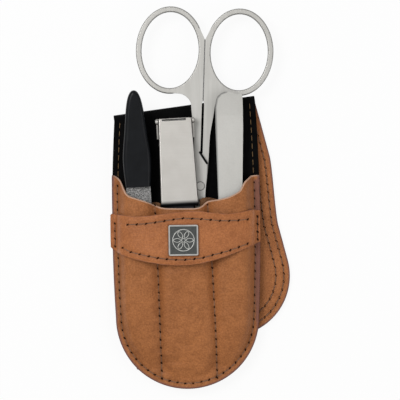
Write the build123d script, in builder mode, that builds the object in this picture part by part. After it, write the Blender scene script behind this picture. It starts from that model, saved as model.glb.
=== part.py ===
"""Leather manicure case, open, with its nail scissors, clipper, tweezers and file in the pockets.

The case lies on its back. +Z comes out of the pouch's front, +Y runs up the pouch towards the
scissors' finger rings, and the origin is on the table below the middle of the strap. Millimetres.
"""
import os
from math import asin, cos, degrees, pi, radians, sin, sqrt, tan

from build123d import *

os.makedirs("parts", exist_ok=True)

# ---------------------------------------------------------------- driving dimensions
# Sheet materials
leather = 1.2  # outer leather, pocket panel and strap
lining = 0.6  # black lining
strap_backing = 0.4  # thin leather inside the strap
fold_gap = 1.2  # free gap between the back and the flap folded behind it

# Case outline
top_half_width = 27.3
waist_swell = 1.3  # how far the sides bow out, level with the strap
bottom_swell = 0.4
bottom_centre_y = -30.0
fold_edge_y = 52.0  # outer edge of the fold on the middle line
fold_slope = 7.2  # degrees, the fold rises towards +X
seam_inset = 2.2  # stitch line inside the outline

# Flap, lengths measured from the fold axis with the flap laid open
flap_square_length = 25.0
flap_taper_end = 52.0
flap_tip_radius = 23.5
flap_length = 89.4

# Pocket panel
divider_left_x = -11.6
divider_right_x = 10.6
divider_land = 0.5  # panel sewn flat on each side of a divider row
seam_land = 4.2  # panel sewn flat inside the outline
mouth_y = 14.4  # upper edge of the panel at the dividers
mouth_dip = 2.9  # how far the middle pocket's edge hangs below that
ear_top_y = 24.3  # upper edge of the panel at the side seams
ear_width = 5.0
left_pocket_height = 7.9  # free height inside each pocket
middle_pocket_height = 9.4
right_pocket_height = 8.8
pocket_end_height = 0.3
pocket_top_y = 30.0  # the pockets are shaped from above their mouths
side_pocket_end_y = -48.5
side_curve = 0.0004  # the sides fall away from the waist by about this times the distance squared

# Strap and its metal plate
strap_gap = 1.0  # between the strap and the pockets: the closed flap tucks in here
strap_upper_y = 10.6
strap_lower_y = -9.2
strap_end_lower_y = -2.9  # the lower edge curves up towards the side seams
strap_foot_height = 5.6  # the strap stands up this far at the side seams
strap_shoulder_inset = 7.0
strap_shoulder_room = 0.5
strap_crown_inset = 1.6
strap_foot_bend, strap_shoulder_bend, strap_crown_bend = 2.5, 4.0, 8.0
badge_width = 11.3
badge_height = 11.7
badge_thickness = 1.1
badge_rim = 0.55
badge_x = -1.1
badge_recess = 0.35
prong_radius = 0.5
clinch_plate = 0.4
clinch_inset = 0.75  # clinch plate inside the badge's outline
badge_base = 0.4  # metal under the inlay
badge_corner = 0.6
prong_x, prong_y = 3.6, 3.8

# Tools: common clearances
lift = 0.2  # scissors above the lining
layer_gap = 0.25  # between tools that pass in front of each other
running = 0.05  # radial clearance of a pin or screw in its hole
face_gap = 0.02  # between two flat blades or leaves that slide on each other

# Nail scissors, in their own plane with the pivot at the origin
scissors_x, scissors_y = 5.7, 20.7
scissors_lean = 2.6  # degrees towards +X
scissors_thickness = 2.4
ring_centre_x = 13.35
ring_centre_y = 52.1
ring_outer_x, ring_outer_y = 13.2, 16.85
ring_band = 2.15
ring_notch_y = 56.5  # the rings lie against each other up to here
ring_round = 0.5
slot_width = 0.9  # between the shanks, above the joint
slot_top_y = 33.1
shank_gap = 0.04  # between the shanks above the slot and between the rings
shank_neck_y = 29.4
shank_neck_x = 4.4
shoulder_x = 2.75
shoulder_y = 9.6
shoulder_rise = 3.2
shoulder_gap = 0.65  # dark line between a shoulder and the lap that crosses in front of it
blade_length = 30.0
blade_root = 2.1
screw_radius = 0.9
screw_head_radius = 1.5
screw_head = 0.5
screw_slot, screw_slot_depth, screw_slot_turn = 0.4, 0.3, 35

# Nail clipper, in its own plane with the lever's upper end at the origin
clipper_x, clipper_y = -3.8, 46.8
clipper_lean = -2.5
clipper_length = 52.0
leaf_width = 10.6
leaf_thickness = 0.8
stirrup_thickness = 0.6
stirrup_length = 7.7
jaw_opening = 1.2
jaw_overhang = 0.1
jaw_lip = 0.35
jaw_land = 0.3
jaw_slope = 0.9
lever_clearance = 0.1  # over the upper leaf
stirrup_clearance = 0.25  # beside the lever
stirrup_round = 1.1
stirrup_low = 1.6
lever_thickness = 0.8
lever_length = 34.0
lever_half_top = 6.4
lever_half_bottom = 7.3
lever_wall_depth = 1.9
lever_end_hollow = 0.3
lever_roll = 1.9  # length over which the lower end rolls down to a thin edge
lever_edge = 0.15
lever_slot_width = 8.4
lever_slot = 0.6
lever_bar = 0.3  # metal left above the slot
lever_round = 0.6
cross_pin_radius = 0.45
cross_pin_y = -1.0
pin_head_radius = 0.75
pin_head = 0.35
rivet_radius = 1.1
rivet_head_radius = 2.0
rivet_head = 0.45

# Tweezers, in their own plane with the welded end at the origin
tweezers_x, tweezers_y = 17.1, 56.9
tweezers_tilt = 2.6  # degrees, the upper end leans forward
tweezers_length = 88.0
tweezers_half_top = 5.3
tweezers_round = 6.6  # length of the rounded upper end
tweezers_square = 14.0  # the sides are parallel down to here
tweezers_half_mouth = 4.6
tweezers_half_tip = 1.8
tweezers_mouth = 42.0
arm_thickness = 1.1
weld_length = 9.0
tip_gap = 2.0
spring_slope = 0.029  # the front arm leaves the weld at this slope
tip_slant = 1.2
tip_thinning = 0.2
tip_grind = 12.0
mouth_lead = 6.0  # the tweezers clear the panel's edge this far above it

# Nail file, in its own plane with the handle's lower end at the origin
file_x, file_y = -18.2, 20.7
file_lean = -2.0
file_tilt = 4.3
handle_length = 37.2
handle_end_half = 4.85
handle_belly_half = 5.4
handle_belly_y = 11.0
handle_waist_half = 4.2
handle_waist_y = 22.0
handle_thickness = 4.6
handle_round = 1.5
blade_half = 4.7
blade_tip_half = 1.5
blade_thickness = 1.0
file_blade_length = 58.0
file_blade_taper = 30.0
tang_length = 9.0
tang_half = 2.4

# ---------------------------------------------------------------- levels and shared lines
waist_half_width = top_half_width + waist_swell
bottom_radius = top_half_width + bottom_swell
fold_radius = fold_gap / 2 + leather + lining
axis_z = fold_radius
back_z = axis_z + fold_gap / 2
floor_z = back_z + leather + lining
panel_z = floor_z + leather
slope = tan(radians(fold_slope))
axis_y = fold_edge_y - fold_radius / cos(radians(fold_slope))
scissors_z = floor_z + lift
front_z = scissors_z + scissors_thickness + layer_gap  # lowest level of the tools in front

# Laid open, the flap continues the back panel. Folded, it is turned half a turn about the fold axis.
flap_plane = Plane(
    origin=(0, axis_y, axis_z),
    x_dir=(cos(radians(2 * fold_slope)), sin(radians(2 * fold_slope)), 0),
    z_dir=(0, 0, -1),
)
fold_plane = Plane(
    origin=(0, axis_y, axis_z),
    x_dir=(-sin(radians(fold_slope)), cos(radians(fold_slope)), 0),
    z_dir=(cos(radians(fold_slope)), sin(radians(fold_slope)), 0),
)


def tool_plane(x, y, z, lean=0.0, tilt=0.0):
    """A tool's own plane: local y runs up the tool, local z out of its front."""
    across = Vector(cos(radians(lean)), -sin(radians(lean)), 0)
    up = Vector(
        sin(radians(lean)) * cos(radians(tilt)),
        cos(radians(lean)) * cos(radians(tilt)),
        sin(radians(tilt)),
    )
    return Plane(origin=(x, y, z), x_dir=across, z_dir=across.cross(up))


def section_plane(y):
    """A plane across the pouch: local x is X, local y is Z."""
    return Plane(origin=(0, y, 0), x_dir=(1, 0, 0), z_dir=(0, -1, 0))


# ---------------------------------------------------------------- back panel
def case_face():
    """Outline of the back panel: slanted fold line, long side curves and round bottom."""
    left_top = (-top_half_width, axis_y - top_half_width * slope)
    right_top = (top_half_width, axis_y + top_half_width * slope)
    left_foot = (-bottom_radius, bottom_centre_y)
    right_foot = (bottom_radius, bottom_centre_y)
    with BuildLine() as outline:
        ThreePointArc(left_top, (-waist_half_width, 0), left_foot)
        ThreePointArc(left_foot, (0, bottom_centre_y - bottom_radius), right_foot)
        ThreePointArc(right_foot, (waist_half_width, 0), right_top)
        Line(right_top, left_top)
    make_face(outline.edges())


with BuildPart() as back_leather:
    with BuildSketch(Plane.XY.offset(back_z)):
        case_face()
    extrude(amount=leather)
back_leather.part.label = "back_leather"

with BuildPart() as back_lining:
    with BuildSketch(Plane.XY.offset(back_z + leather)):
        case_face()
    extrude(amount=lining)
back_lining.part.label = "back_lining"


# ---------------------------------------------------------------- flap and fold
def flap_face():
    """Outline of the flap laid open: it tapers to a round tongue."""
    tip_centre_y = flap_length - flap_tip_radius
    left = (-top_half_width, -top_half_width * slope)
    right = (top_half_width, top_half_width * slope)
    with BuildLine() as outline:
        Line(left, right)
        Line(right, (top_half_width, flap_square_length))
        Spline(
            (top_half_width, flap_square_length),
            (flap_tip_radius, flap_taper_end),
            tangents=((0, 1), (0, 1)),
            tangent_scalars=(0.5, 0.5),
        )
        Line((flap_tip_radius, flap_taper_end), (flap_tip_radius, tip_centre_y))
        ThreePointArc((flap_tip_radius, tip_centre_y), (0, flap_length), (-flap_tip_radius, tip_centre_y))
        Line((-flap_tip_radius, tip_centre_y), (-flap_tip_radius, flap_taper_end))
        Spline(
            (-flap_tip_radius, flap_taper_end),
            (-top_half_width, flap_square_length),
            tangents=((0, -1), (0, -1)),
            tangent_scalars=(0.5, 0.5),
        )
        Line((-top_half_width, flap_square_length), left)
    make_face(outline.edges())


with BuildPart() as flap_leather:
    with BuildSketch(flap_plane.offset(fold_gap / 2)):
        flap_face()
    extrude(amount=leather)
flap_leather.part.label = "flap_leather"

with BuildPart() as flap_lining:
    with BuildSketch(flap_plane.offset(fold_gap / 2 + leather)):
        flap_face()
    extrude(amount=lining)
flap_lining.part.label = "flap_lining"


def fold_half_ring(inner, outer):
    """Half ring of sheet, bent round the fold axis on its upper side."""
    half_length = top_half_width / cos(radians(fold_slope))
    with BuildSketch(fold_plane.offset(-half_length)) as ring:
        Circle(outer)
        Circle(inner, mode=Mode.SUBTRACT)
        with Locations((-outer, 0)):
            Rectangle(2 * outer, 2 * outer, mode=Mode.SUBTRACT)
    extrude(ring.sketch, amount=2 * half_length)


with BuildPart() as fold_leather:
    fold_half_ring(fold_gap / 2, fold_gap / 2 + leather)
fold_leather.part.label = "fold_leather"

with BuildPart() as fold_lining:
    fold_half_ring(fold_gap / 2 + leather, fold_radius)
fold_lining.part.label = "fold_lining"


# ---------------------------------------------------------------- pocket panel
def outline_half_width(y, inset):
    """Half-width of the sewn-in room at height y, inside the outline by inset."""
    radius = bottom_radius - inset
    if y > bottom_centre_y:
        return waist_half_width - inset - side_curve * y * y
    return sqrt(max(radius**2 - (y - bottom_centre_y) ** 2, 0.01))


def pocket_section(y, left, right, height, squareness):
    """Domed section across one pocket, standing on the lining."""
    middle, half = (left + right) / 2, (right - left) / 2
    steps = 8
    points = []
    for i in range(steps + 1):
        turn = pi * i / steps
        reach = abs(cos(turn)) ** (2 / squareness)
        side = 1 if cos(turn) >= 0 else -1
        points.append((middle + side * half * reach, floor_z + height * sin(turn) ** (2 / squareness)))
    points[-1] = (left, floor_z)
    with BuildSketch(section_plane(y)) as section:
        with BuildLine():
            Spline(*points)
            Line(points[-1], points[0])
        make_face()
    return section.sketch


def pocket_loft(stations, squareness, grow, mode):
    """Loft one pocket from above its mouth to its sewn end; grow adds the leather outside."""
    sections = [
        pocket_section(y, left - grow, right + grow, height + grow, squareness)
        for y, left, right, height in stations
    ]
    loft(sections, mode=mode)


def side_stations(side, divider, height):
    """Stations of an outer pocket between a divider and the side seam (side is -1 or 1)."""
    levels = (pocket_top_y, 12, -6, -22, -37)
    fullness = (1, 1, 0.99, 0.88, 0.58)
    near = divider + side * divider_land
    stations = []
    for y, part in zip(levels, fullness):
        far = side * outline_half_width(y, seam_land)
        stations.append((y, min(near, far), max(near, far), part * height))
    far = side * outline_half_width(side_pocket_end_y, seam_land)
    stations.append((side_pocket_end_y, min(near, far), max(near, far), pocket_end_height))
    return stations


def middle_stations():
    """Stations of the middle pocket between the two dividers."""
    left, right = divider_left_x + divider_land, divider_right_x - divider_land
    end_y = bottom_centre_y - (bottom_radius - seam_land) + 0.6
    end_half = outline_half_width(end_y, seam_land) - 0.4
    middle = (left + right) / 2
    return [
        (pocket_top_y, left, right, middle_pocket_height),
        (10, left, right, middle_pocket_height),
        (-10, left, right, 0.98 * middle_pocket_height),
        (-28, left, right, 0.82 * middle_pocket_height),
        (-43, left + 0.6, right - 0.6, 0.5 * middle_pocket_height),
        (end_y, middle - end_half, middle + end_half, pocket_end_height),
    ]


pockets = (
    (side_stations(-1, divider_left_x, left_pocket_height), 3.2),
    (middle_stations(), 4.0),
    (side_stations(1, divider_right_x, right_pocket_height), 3.2),
)


def mouth_face():
    """The region above the panel's wavy upper edge."""
    edge = waist_half_width + 2
    ear = waist_half_width - ear_width
    middle = (divider_left_x + divider_right_x) / 2
    with BuildLine() as outline:
        Spline(
            (-edge, ear_top_y),
            (-ear - 1.2, ear_top_y - 1.8),
            (-ear + 0.9, mouth_y + 4.2),
            (divider_left_x - 4.5, mouth_y + 1.1),
            (divider_left_x, mouth_y - 1.5),
            (divider_left_x + 3.8, mouth_y - mouth_dip + 0.2),
            (middle, mouth_y - mouth_dip),
            (divider_right_x - 5.4, mouth_y - mouth_dip + 0.3),
            (divider_right_x - 2.4, mouth_y - 0.9),
            (divider_right_x, mouth_y + 0.4),
            (divider_right_x + 4.5, mouth_y + 1.5),
            (ear - 0.9, mouth_y + 5.0),
            (ear + 1.2, ear_top_y - 1.8),
            (edge, ear_top_y),
        )
        Polyline((edge, ear_top_y), (edge, fold_edge_y + 8), (-edge, fold_edge_y + 8), (-edge, ear_top_y))
    make_face(outline.edges())


with BuildPart() as pocket_panel:
    with BuildSketch(Plane.XY.offset(floor_z)):
        case_face()
    extrude(amount=leather)
    for stations, squareness in pockets:
        pocket_loft(stations, squareness, leather, Mode.ADD)
    for stations, squareness in pockets:
        pocket_loft(stations, squareness, 0, Mode.SUBTRACT)
    with BuildSketch(Plane.XY.offset(floor_z - 1)):
        mouth_face()
    extrude(amount=30, mode=Mode.SUBTRACT)
pocket_panel.part.label = "pocket_panel"


# ---------------------------------------------------------------- strap
strap_foot_x = waist_half_width - seam_inset
strap_top_z = panel_z + middle_pocket_height + strap_gap
left_shoulder_z = panel_z + left_pocket_height + strap_gap + strap_shoulder_room
right_shoulder_z = panel_z + right_pocket_height + strap_gap + strap_shoulder_room
shoulder_reach = waist_half_width - strap_shoulder_inset
strap_bend_z = panel_z + strap_foot_height
crown_left = divider_left_x + strap_crown_inset
crown_right = divider_right_x - strap_crown_inset


def strap_room(grow, mode=Mode.ADD):
    """Section of the room under the strap, grown by the layers of the strap."""
    corners = (
        (-strap_foot_x - grow, floor_z),
        (-strap_foot_x - grow, strap_bend_z),
        (-shoulder_reach - 0.6 * grow, left_shoulder_z + 0.8 * grow),
        (crown_left, strap_top_z + grow),
        (crown_right, strap_top_z + grow),
        (shoulder_reach + 0.6 * grow, right_shoulder_z + 0.8 * grow),
        (strap_foot_x + grow, strap_bend_z),
        (strap_foot_x + grow, floor_z),
    )
    bends = (strap_foot_bend, strap_shoulder_bend, strap_crown_bend)
    radii = [bend + grow for bend in bends + bends[::-1]]
    with BuildLine() as outline:
        FilletPolyline(*corners, radius=radii)
        Line(corners[-1], corners[0])
    make_face(outline.edges(), mode=mode)


def strap_plan():
    """Plan of the strap: nearly straight upper edge, lower edge curved up at its ends."""
    edge = waist_half_width
    with BuildLine() as outline:
        Spline(
            (-edge, strap_upper_y - 0.3),
            (-edge * 0.72, strap_upper_y - 1.6),
            (0, strap_upper_y + 0.4),
            (edge * 0.6, strap_upper_y - 0.8),
            (edge, strap_upper_y + 0.8),
        )
        Line((edge, strap_upper_y + 0.8), (edge, strap_end_lower_y + 1.9))
        ThreePointArc(
            (edge, strap_end_lower_y + 1.9),
            (-1.0, strap_lower_y),
            (-edge, strap_end_lower_y),
        )
        Line((-edge, strap_end_lower_y), (-edge, strap_upper_y - 0.3))
    make_face(outline.edges())


def strap_layer(inner, outer):
    """One layer of the strap: a bent band, trimmed to the strap's plan."""
    reach = 2 * (strap_upper_y - strap_lower_y)
    with BuildSketch(section_plane(reach / 2)) as band:
        strap_room(outer)
        strap_room(inner, Mode.SUBTRACT)
        with Locations((0, panel_z - 10)):
            Rectangle(4 * waist_half_width, 20, mode=Mode.SUBTRACT)
    extrude(band.sketch, amount=reach)
    with BuildSketch(Plane.XY.offset(panel_z - 1)) as plan:
        strap_plan()
    extrude(plan.sketch, amount=30, mode=Mode.INTERSECT)


def foot_plates():
    """The strap's ends, turned out flat on the panel where they are sewn in."""
    with BuildSketch(Plane.XY.offset(panel_z)) as feet:
        strap_plan()
        Rectangle(2 * (strap_foot_x + strap_backing), 4 * strap_upper_y, mode=Mode.SUBTRACT)
    extrude(feet.sketch, amount=leather)


prong_spots = [(x, y) for x in (-prong_x, prong_x) for y in (-prong_y, prong_y)]

with BuildPart() as strap_leather:
    strap_layer(strap_backing, strap_backing + leather)
    foot_plates()
    with BuildSketch(Plane.XY.offset(strap_top_z - 1)):
        with Locations((badge_x, 0)):
            with Locations(*prong_spots):
                Circle(prong_radius)
    extrude(amount=6, mode=Mode.SUBTRACT)
strap_leather.part.label = "strap_leather"

with BuildPart() as strap_lining:
    strap_layer(0, strap_backing)
    with BuildSketch(Plane.XY.offset(strap_top_z - 1)):
        with Locations((badge_x, 0)):
            with Locations(*prong_spots):
                Circle(prong_radius)
    extrude(amount=6, mode=Mode.SUBTRACT)
strap_lining.part.label = "strap_lining"

# ---------------------------------------------------------------- square metal plate on the strap
badge_z = strap_top_z + strap_backing + leather
with BuildPart() as badge_frame:
    with BuildSketch(Plane.XY.offset(badge_z)):
        with Locations((badge_x, 0)):
            RectangleRounded(badge_width, badge_height, badge_corner)
    extrude(amount=badge_thickness)
    with BuildSketch(Plane.XY.offset(badge_z + badge_thickness)):
        with Locations((badge_x, 0)):
            Rectangle(badge_width - 2 * badge_rim, badge_height - 2 * badge_rim)
    extrude(amount=-(badge_thickness - badge_base), mode=Mode.SUBTRACT)
    with BuildSketch(Plane.XY.offset(badge_z)):
        with Locations((badge_x, 0)):
            with Locations(*prong_spots):
                Circle(prong_radius)
    extrude(amount=-(leather + strap_backing))
badge_frame.part.label = "badge_frame"

with BuildPart() as badge_field:
    with BuildSketch(Plane.XY.offset(badge_z + badge_base)):
        with Locations((badge_x, 0)):
            Rectangle(badge_width - 2 * badge_rim, badge_height - 2 * badge_rim)
    extrude(amount=badge_thickness - badge_base - badge_recess)
badge_field.part.label = "badge_field"

with BuildPart() as badge_backing:
    with BuildSketch(Plane.XY.offset(strap_top_z - clinch_plate)):
        with Locations((badge_x, 0)):
            RectangleRounded(badge_width - 2 * clinch_inset, badge_height - 2 * clinch_inset, badge_corner)
    extrude(amount=clinch_plate)
badge_backing.part.label = "badge_backing"

# ---------------------------------------------------------------- nail scissors
scissors_plane = tool_plane(scissors_x, scissors_y, scissors_z, scissors_lean)
half_thickness = scissors_thickness / 2 - face_gap / 2


def shank_face():
    """Right-hand shank, from the middle of the ring's band down to the shoulder of the joint."""
    inner_edge = slot_width / 2
    with BuildLine() as outline:
        Polyline(
            (ring_centre_x - 1.5, ring_centre_y - ring_outer_y + 0.3),
            (ring_centre_x - 1.5, ring_centre_y - ring_outer_y + ring_band + 1.0),
            (6.0, ring_centre_y - 5),
            (6.0, ring_notch_y + 4.3),
            (2.1, ring_notch_y + 4.3),
            (shank_gap / 2, ring_notch_y),
            (shank_gap / 2, slot_top_y),
            (inner_edge, slot_top_y - 1.5),
            (inner_edge, shoulder_y + shoulder_rise),
            (shoulder_x, shoulder_y),
        )
        Spline(
            (shoulder_x, shoulder_y),
            (3.15, 20.3),
            (shank_neck_x, shank_neck_y),
            (shank_neck_x + 0.55, shank_neck_y + 3.0),
            (shank_neck_x + 2.8, shank_neck_y + 5.4),
            (ring_centre_x - 1.5, ring_centre_y - ring_outer_y + 0.3),
            tangents=((0.05, 1), (1, 0.02)),
        )
    make_face(outline.edges())
    with Locations((ring_centre_x, ring_centre_y)):
        Ellipse(ring_outer_x - ring_band / 2, ring_outer_y - ring_band / 2, mode=Mode.SUBTRACT)


def ring_face():
    """Finger ring."""
    with Locations((ring_centre_x, ring_centre_y)):
        Ellipse(ring_outer_x, ring_outer_y)
        Ellipse(ring_outer_x - ring_band, ring_outer_y - ring_band, mode=Mode.SUBTRACT)


def lap_face():
    """Thin lap round the pivot that crosses to the other side, with the blade below it."""
    inner_edge = slot_width / 2
    run, rise = shoulder_x - inner_edge, shoulder_rise
    slant = sqrt(run**2 + rise**2)
    across = shoulder_gap * rise / slant
    down = shoulder_gap * run / slant
    far_end = (-shoulder_x + across, shoulder_y - down)
    near_end = (inner_edge, far_end[1] + (inner_edge - far_end[0]) * rise / run)
    with BuildLine() as outline:
        Polyline((shoulder_x, shoulder_y), (inner_edge, shoulder_y + rise), near_end, far_end)
        Spline(
            far_end,
            (-blade_root, 0),
            (-0.72 * blade_root, -0.53 * blade_length),
            (0.1, -blade_length),
            tangents=((-0.1, -1), (0.2, -1)),
        )
        Line((0.1, -blade_length), (0.6, -blade_length + 0.6))
        Line((0.6, -blade_length + 0.6), (blade_root - 0.6, -4.0))
        Spline((blade_root - 0.6, -4.0), (blade_root, 0), (shoulder_x, shoulder_y))
    make_face(outline.edges())


def scissors_half(front):
    """One half: the rear one has its ring on the right, the front one is its mirror image."""
    plane = scissors_plane
    if front:
        plane = Plane(
            origin=scissors_plane.origin + scissors_plane.z_dir * scissors_thickness,
            x_dir=-scissors_plane.x_dir,
            z_dir=-scissors_plane.z_dir,
        )
    with BuildSketch(plane) as ring:
        ring_face()
    extrude(ring.sketch, amount=scissors_thickness)
    fillet(edges().filter_by(GeomType.ELLIPSE), ring_round)
    with BuildSketch(plane) as shank:
        shank_face()
    extrude(shank.sketch, amount=scissors_thickness)
    with BuildSketch(plane) as lap:
        lap_face()
    extrude(lap.sketch, amount=half_thickness)
    with BuildSketch(plane) as hole:
        Circle(screw_radius + running)
    extrude(hole.sketch, amount=scissors_thickness, mode=Mode.SUBTRACT)


with BuildPart() as scissors_half_right:
    scissors_half(front=False)
scissors_half_right.part.label = "scissors_half_right"

with BuildPart() as scissors_half_left:
    scissors_half(front=True)
    with BuildSketch(scissors_plane.offset(scissors_thickness)):
        Circle(screw_head_radius + running)
    extrude(amount=-screw_head, mode=Mode.SUBTRACT)
scissors_half_left.part.label = "scissors_half_left"

with BuildPart() as scissors_screw:
    with BuildSketch(scissors_plane):
        Circle(screw_radius)
    extrude(amount=scissors_thickness)
    with BuildSketch(scissors_plane.offset(scissors_thickness)):
        Circle(screw_head_radius)
    extrude(amount=-screw_head)
    with BuildSketch(scissors_plane.offset(scissors_thickness)):
        Rectangle(2 * screw_head_radius, screw_slot, rotation=screw_slot_turn)
    extrude(amount=-screw_slot_depth, mode=Mode.SUBTRACT)
scissors_screw.part.label = "scissors_screw"

# ---------------------------------------------------------------- nail clipper
clipper_plane = tool_plane(clipper_x, clipper_y, front_z, clipper_lean)
lower_leaf_z = stirrup_thickness + face_gap
upper_tail_z = lower_leaf_z + leaf_thickness
leaf_slope = asin(jaw_opening / clipper_length)
upper_head_z = upper_tail_z + jaw_opening
pin_z = upper_head_z + leaf_thickness + cross_pin_radius + lever_clearance
tail_y = -clipper_length
clipper_side = Plane(origin=clipper_plane.origin, x_dir=clipper_plane.y_dir, z_dir=clipper_plane.x_dir)


def leaf_plan():
    """Plan of a leaf: straight sides and a round tail."""
    half = leaf_width / 2
    with BuildLine() as outline:
        Polyline((-half, tail_y + half), (-half, jaw_overhang), (half, jaw_overhang), (half, tail_y + half))
        ThreePointArc((half, tail_y + half), (0, tail_y), (-half, tail_y + half))
    make_face(outline.edges())


def leaf_profile(tail_z, head_z, jaw_side):
    """Side view of a leaf, with its end turned in to the cutting jaw (jaw_side 1 up, -1 down)."""
    inner, outer = (leaf_thickness, 0) if jaw_side > 0 else (0, leaf_thickness)
    lip = inner + jaw_side * jaw_lip
    with BuildLine() as outline:
        Polyline(
            (tail_y, tail_z + outer),
            (jaw_overhang, head_z + outer),
            (jaw_overhang, head_z + lip),
            (jaw_overhang - jaw_land, head_z + lip),
            (jaw_overhang - jaw_land - jaw_slope, head_z + inner),
            (tail_y, tail_z + inner),
            close=True,
        )
    make_face(outline.edges())


def leaf(tail_z, head_z, jaw_side):
    """A leaf: its side view extruded across, trimmed to its plan, with the rivet hole."""
    with BuildSketch(clipper_side) as side_view:
        leaf_profile(tail_z, head_z, jaw_side)
    extrude(side_view.sketch, amount=leaf_width, both=True)
    with BuildSketch(clipper_plane.offset(-1)) as plan:
        leaf_plan()
    extrude(plan.sketch, amount=12, mode=Mode.INTERSECT)
    with BuildSketch(clipper_plane.offset(-1)) as hole:
        with Locations((0, tail_y + leaf_width / 2)):
            Circle(rivet_radius + running)
    extrude(hole.sketch, amount=12, mode=Mode.SUBTRACT)


with BuildPart() as clipper_lower_leaf:
    leaf(lower_leaf_z, lower_leaf_z, 1)
clipper_lower_leaf.part.label = "clipper_lower_leaf"

with BuildPart() as clipper_upper_leaf:
    leaf(upper_tail_z + face_gap, upper_head_z, -1)
clipper_upper_leaf.part.label = "clipper_upper_leaf"

rivet_y = tail_y + leaf_width / 2
rivet_top_z = upper_tail_z + leaf_thickness + (upper_head_z - upper_tail_z) * leaf_width / clipper_length
with BuildPart() as clipper_tail_rivet:
    with BuildSketch(clipper_plane.offset(lower_leaf_z)):
        with Locations((0, rivet_y)):
            Circle(rivet_radius)
    extrude(amount=rivet_top_z - lower_leaf_z + face_gap)
    with BuildSketch(clipper_plane.offset(rivet_top_z + face_gap)):
        with Locations((0, rivet_y)):
            Circle(rivet_head_radius)
    extrude(amount=rivet_head, taper=25)
clipper_tail_rivet.part.label = "clipper_tail_rivet"

# The stirrup's base passes under the lower leaf, and its two ears stand beside the lever.
ear_inner = lever_half_top + stirrup_clearance
ear_outer = ear_inner + stirrup_thickness
stirrup_top_y = cross_pin_y + stirrup_round
with BuildPart() as clipper_stirrup:
    with BuildSketch(clipper_plane):
        with Locations((0, stirrup_top_y - stirrup_length / 2)):
            Rectangle(2 * ear_outer, stirrup_length)
    extrude(amount=stirrup_thickness)
    with BuildSketch(clipper_side):
        with BuildLine():
            Polyline(
                (stirrup_top_y - stirrup_length, 0),
                (stirrup_top_y, 0),
                (stirrup_top_y, pin_z),
            )
            ThreePointArc(
                (stirrup_top_y, pin_z),
                (cross_pin_y, pin_z + stirrup_round),
                (cross_pin_y - stirrup_round, pin_z),
            )
            Polyline(
                (cross_pin_y - stirrup_round, pin_z),
                (stirrup_top_y - stirrup_length, stirrup_thickness + stirrup_low),
                (stirrup_top_y - stirrup_length, 0),
            )
        make_face()
    extrude(amount=ear_outer, both=True)
    with BuildSketch(clipper_plane.offset(stirrup_thickness)):
        Rectangle(2 * ear_inner, 4 * stirrup_length)
    extrude(amount=12, mode=Mode.SUBTRACT)
    with BuildSketch(clipper_side):
        with Locations((cross_pin_y, pin_z)):
            Circle(cross_pin_radius + running)
    extrude(amount=10, both=True, mode=Mode.SUBTRACT)
clipper_stirrup.part.label = "clipper_stirrup"

with BuildPart() as clipper_cross_pin:
    with BuildSketch(clipper_side):
        with Locations((cross_pin_y, pin_z)):
            Circle(cross_pin_radius)
    extrude(amount=ear_outer, both=True)
    for side in (-1, 1):
        with BuildSketch(clipper_side.offset(side * ear_outer)):
            with Locations((cross_pin_y, pin_z)):
                Circle(pin_head_radius)
        extrude(amount=side * pin_head)
clipper_cross_pin.part.label = "clipper_cross_pin"

# The lever lies on the upper leaf, so it slopes like the leaf. Its own plane passes through the pin.
lever_drop = degrees(leaf_slope)
lever_side = Plane(
    origin=clipper_side.from_local_coords(Vector(cross_pin_y, pin_z, 0)),
    x_dir=clipper_plane.y_dir.rotate(Axis((0, 0, 0), clipper_plane.x_dir), lever_drop),
    z_dir=clipper_plane.x_dir,
)
lever_face_z = cross_pin_radius + lever_clearance
lever_plane = Plane(origin=lever_side.origin, x_dir=lever_side.z_dir, z_dir=lever_side.y_dir)
lever_top_y = -cross_pin_y
lever_bottom_y = lever_top_y - lever_length


def lever_outline(inset):
    """Plan of the lever, wider towards its hollow lower end."""
    with BuildLine() as outline:
        Polyline(
            (-lever_half_bottom + inset, lever_bottom_y),
            (-lever_half_top + inset, lever_top_y),
            (lever_half_top - inset, lever_top_y),
            (lever_half_bottom - inset, lever_bottom_y),
        )
        ThreePointArc(
            (lever_half_bottom - inset, lever_bottom_y),
            (0, lever_bottom_y + lever_end_hollow),
            (-lever_half_bottom + inset, lever_bottom_y),
        )
    make_face(outline.edges())


with BuildPart() as clipper_lever:
    with BuildSketch(lever_plane.offset(lever_face_z + lever_thickness)):
        lever_outline(0)
    extrude(amount=-(lever_thickness + lever_wall_depth))
    with BuildSketch(lever_plane.offset(lever_face_z)):
        lever_outline(lever_thickness)
        with Locations((0, lever_top_y), (0, lever_bottom_y)):
            Rectangle(2 * (lever_half_top - lever_thickness), 8)
    extrude(amount=-2 * lever_wall_depth, mode=Mode.SUBTRACT)
    long_rims = edges().filter_by(GeomType.LINE).filter_by(lambda e: e.length > lever_length - 1)
    fillet(long_rims.sort_by(Axis.Z)[-2:], lever_round)
    with BuildSketch(lever_side):
        with BuildLine():
            top_z = lever_face_z + lever_thickness
            TangentArc(
                (lever_bottom_y + lever_roll, top_z),
                (lever_bottom_y, lever_face_z + lever_edge),
                tangent=(-1, 0),
            )
            Polyline(
                (lever_bottom_y, lever_face_z + lever_edge),
                (lever_bottom_y - 1, lever_face_z + lever_edge),
                (lever_bottom_y - 1, top_z + 1),
                (lever_bottom_y + lever_roll, top_z + 1),
                (lever_bottom_y + lever_roll, top_z),
            )
        make_face()
    extrude(amount=2 * lever_half_bottom, both=True, mode=Mode.SUBTRACT)
    with BuildSketch(lever_plane.offset(lever_face_z)):
        with Locations((0, lever_top_y - lever_bar - lever_slot / 2)):
            Rectangle(lever_slot_width, lever_slot)
    extrude(amount=2 * lever_thickness, mode=Mode.SUBTRACT)
    with BuildSketch(lever_side):
        Circle(cross_pin_radius + running)
    extrude(amount=10, both=True, mode=Mode.SUBTRACT)
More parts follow.
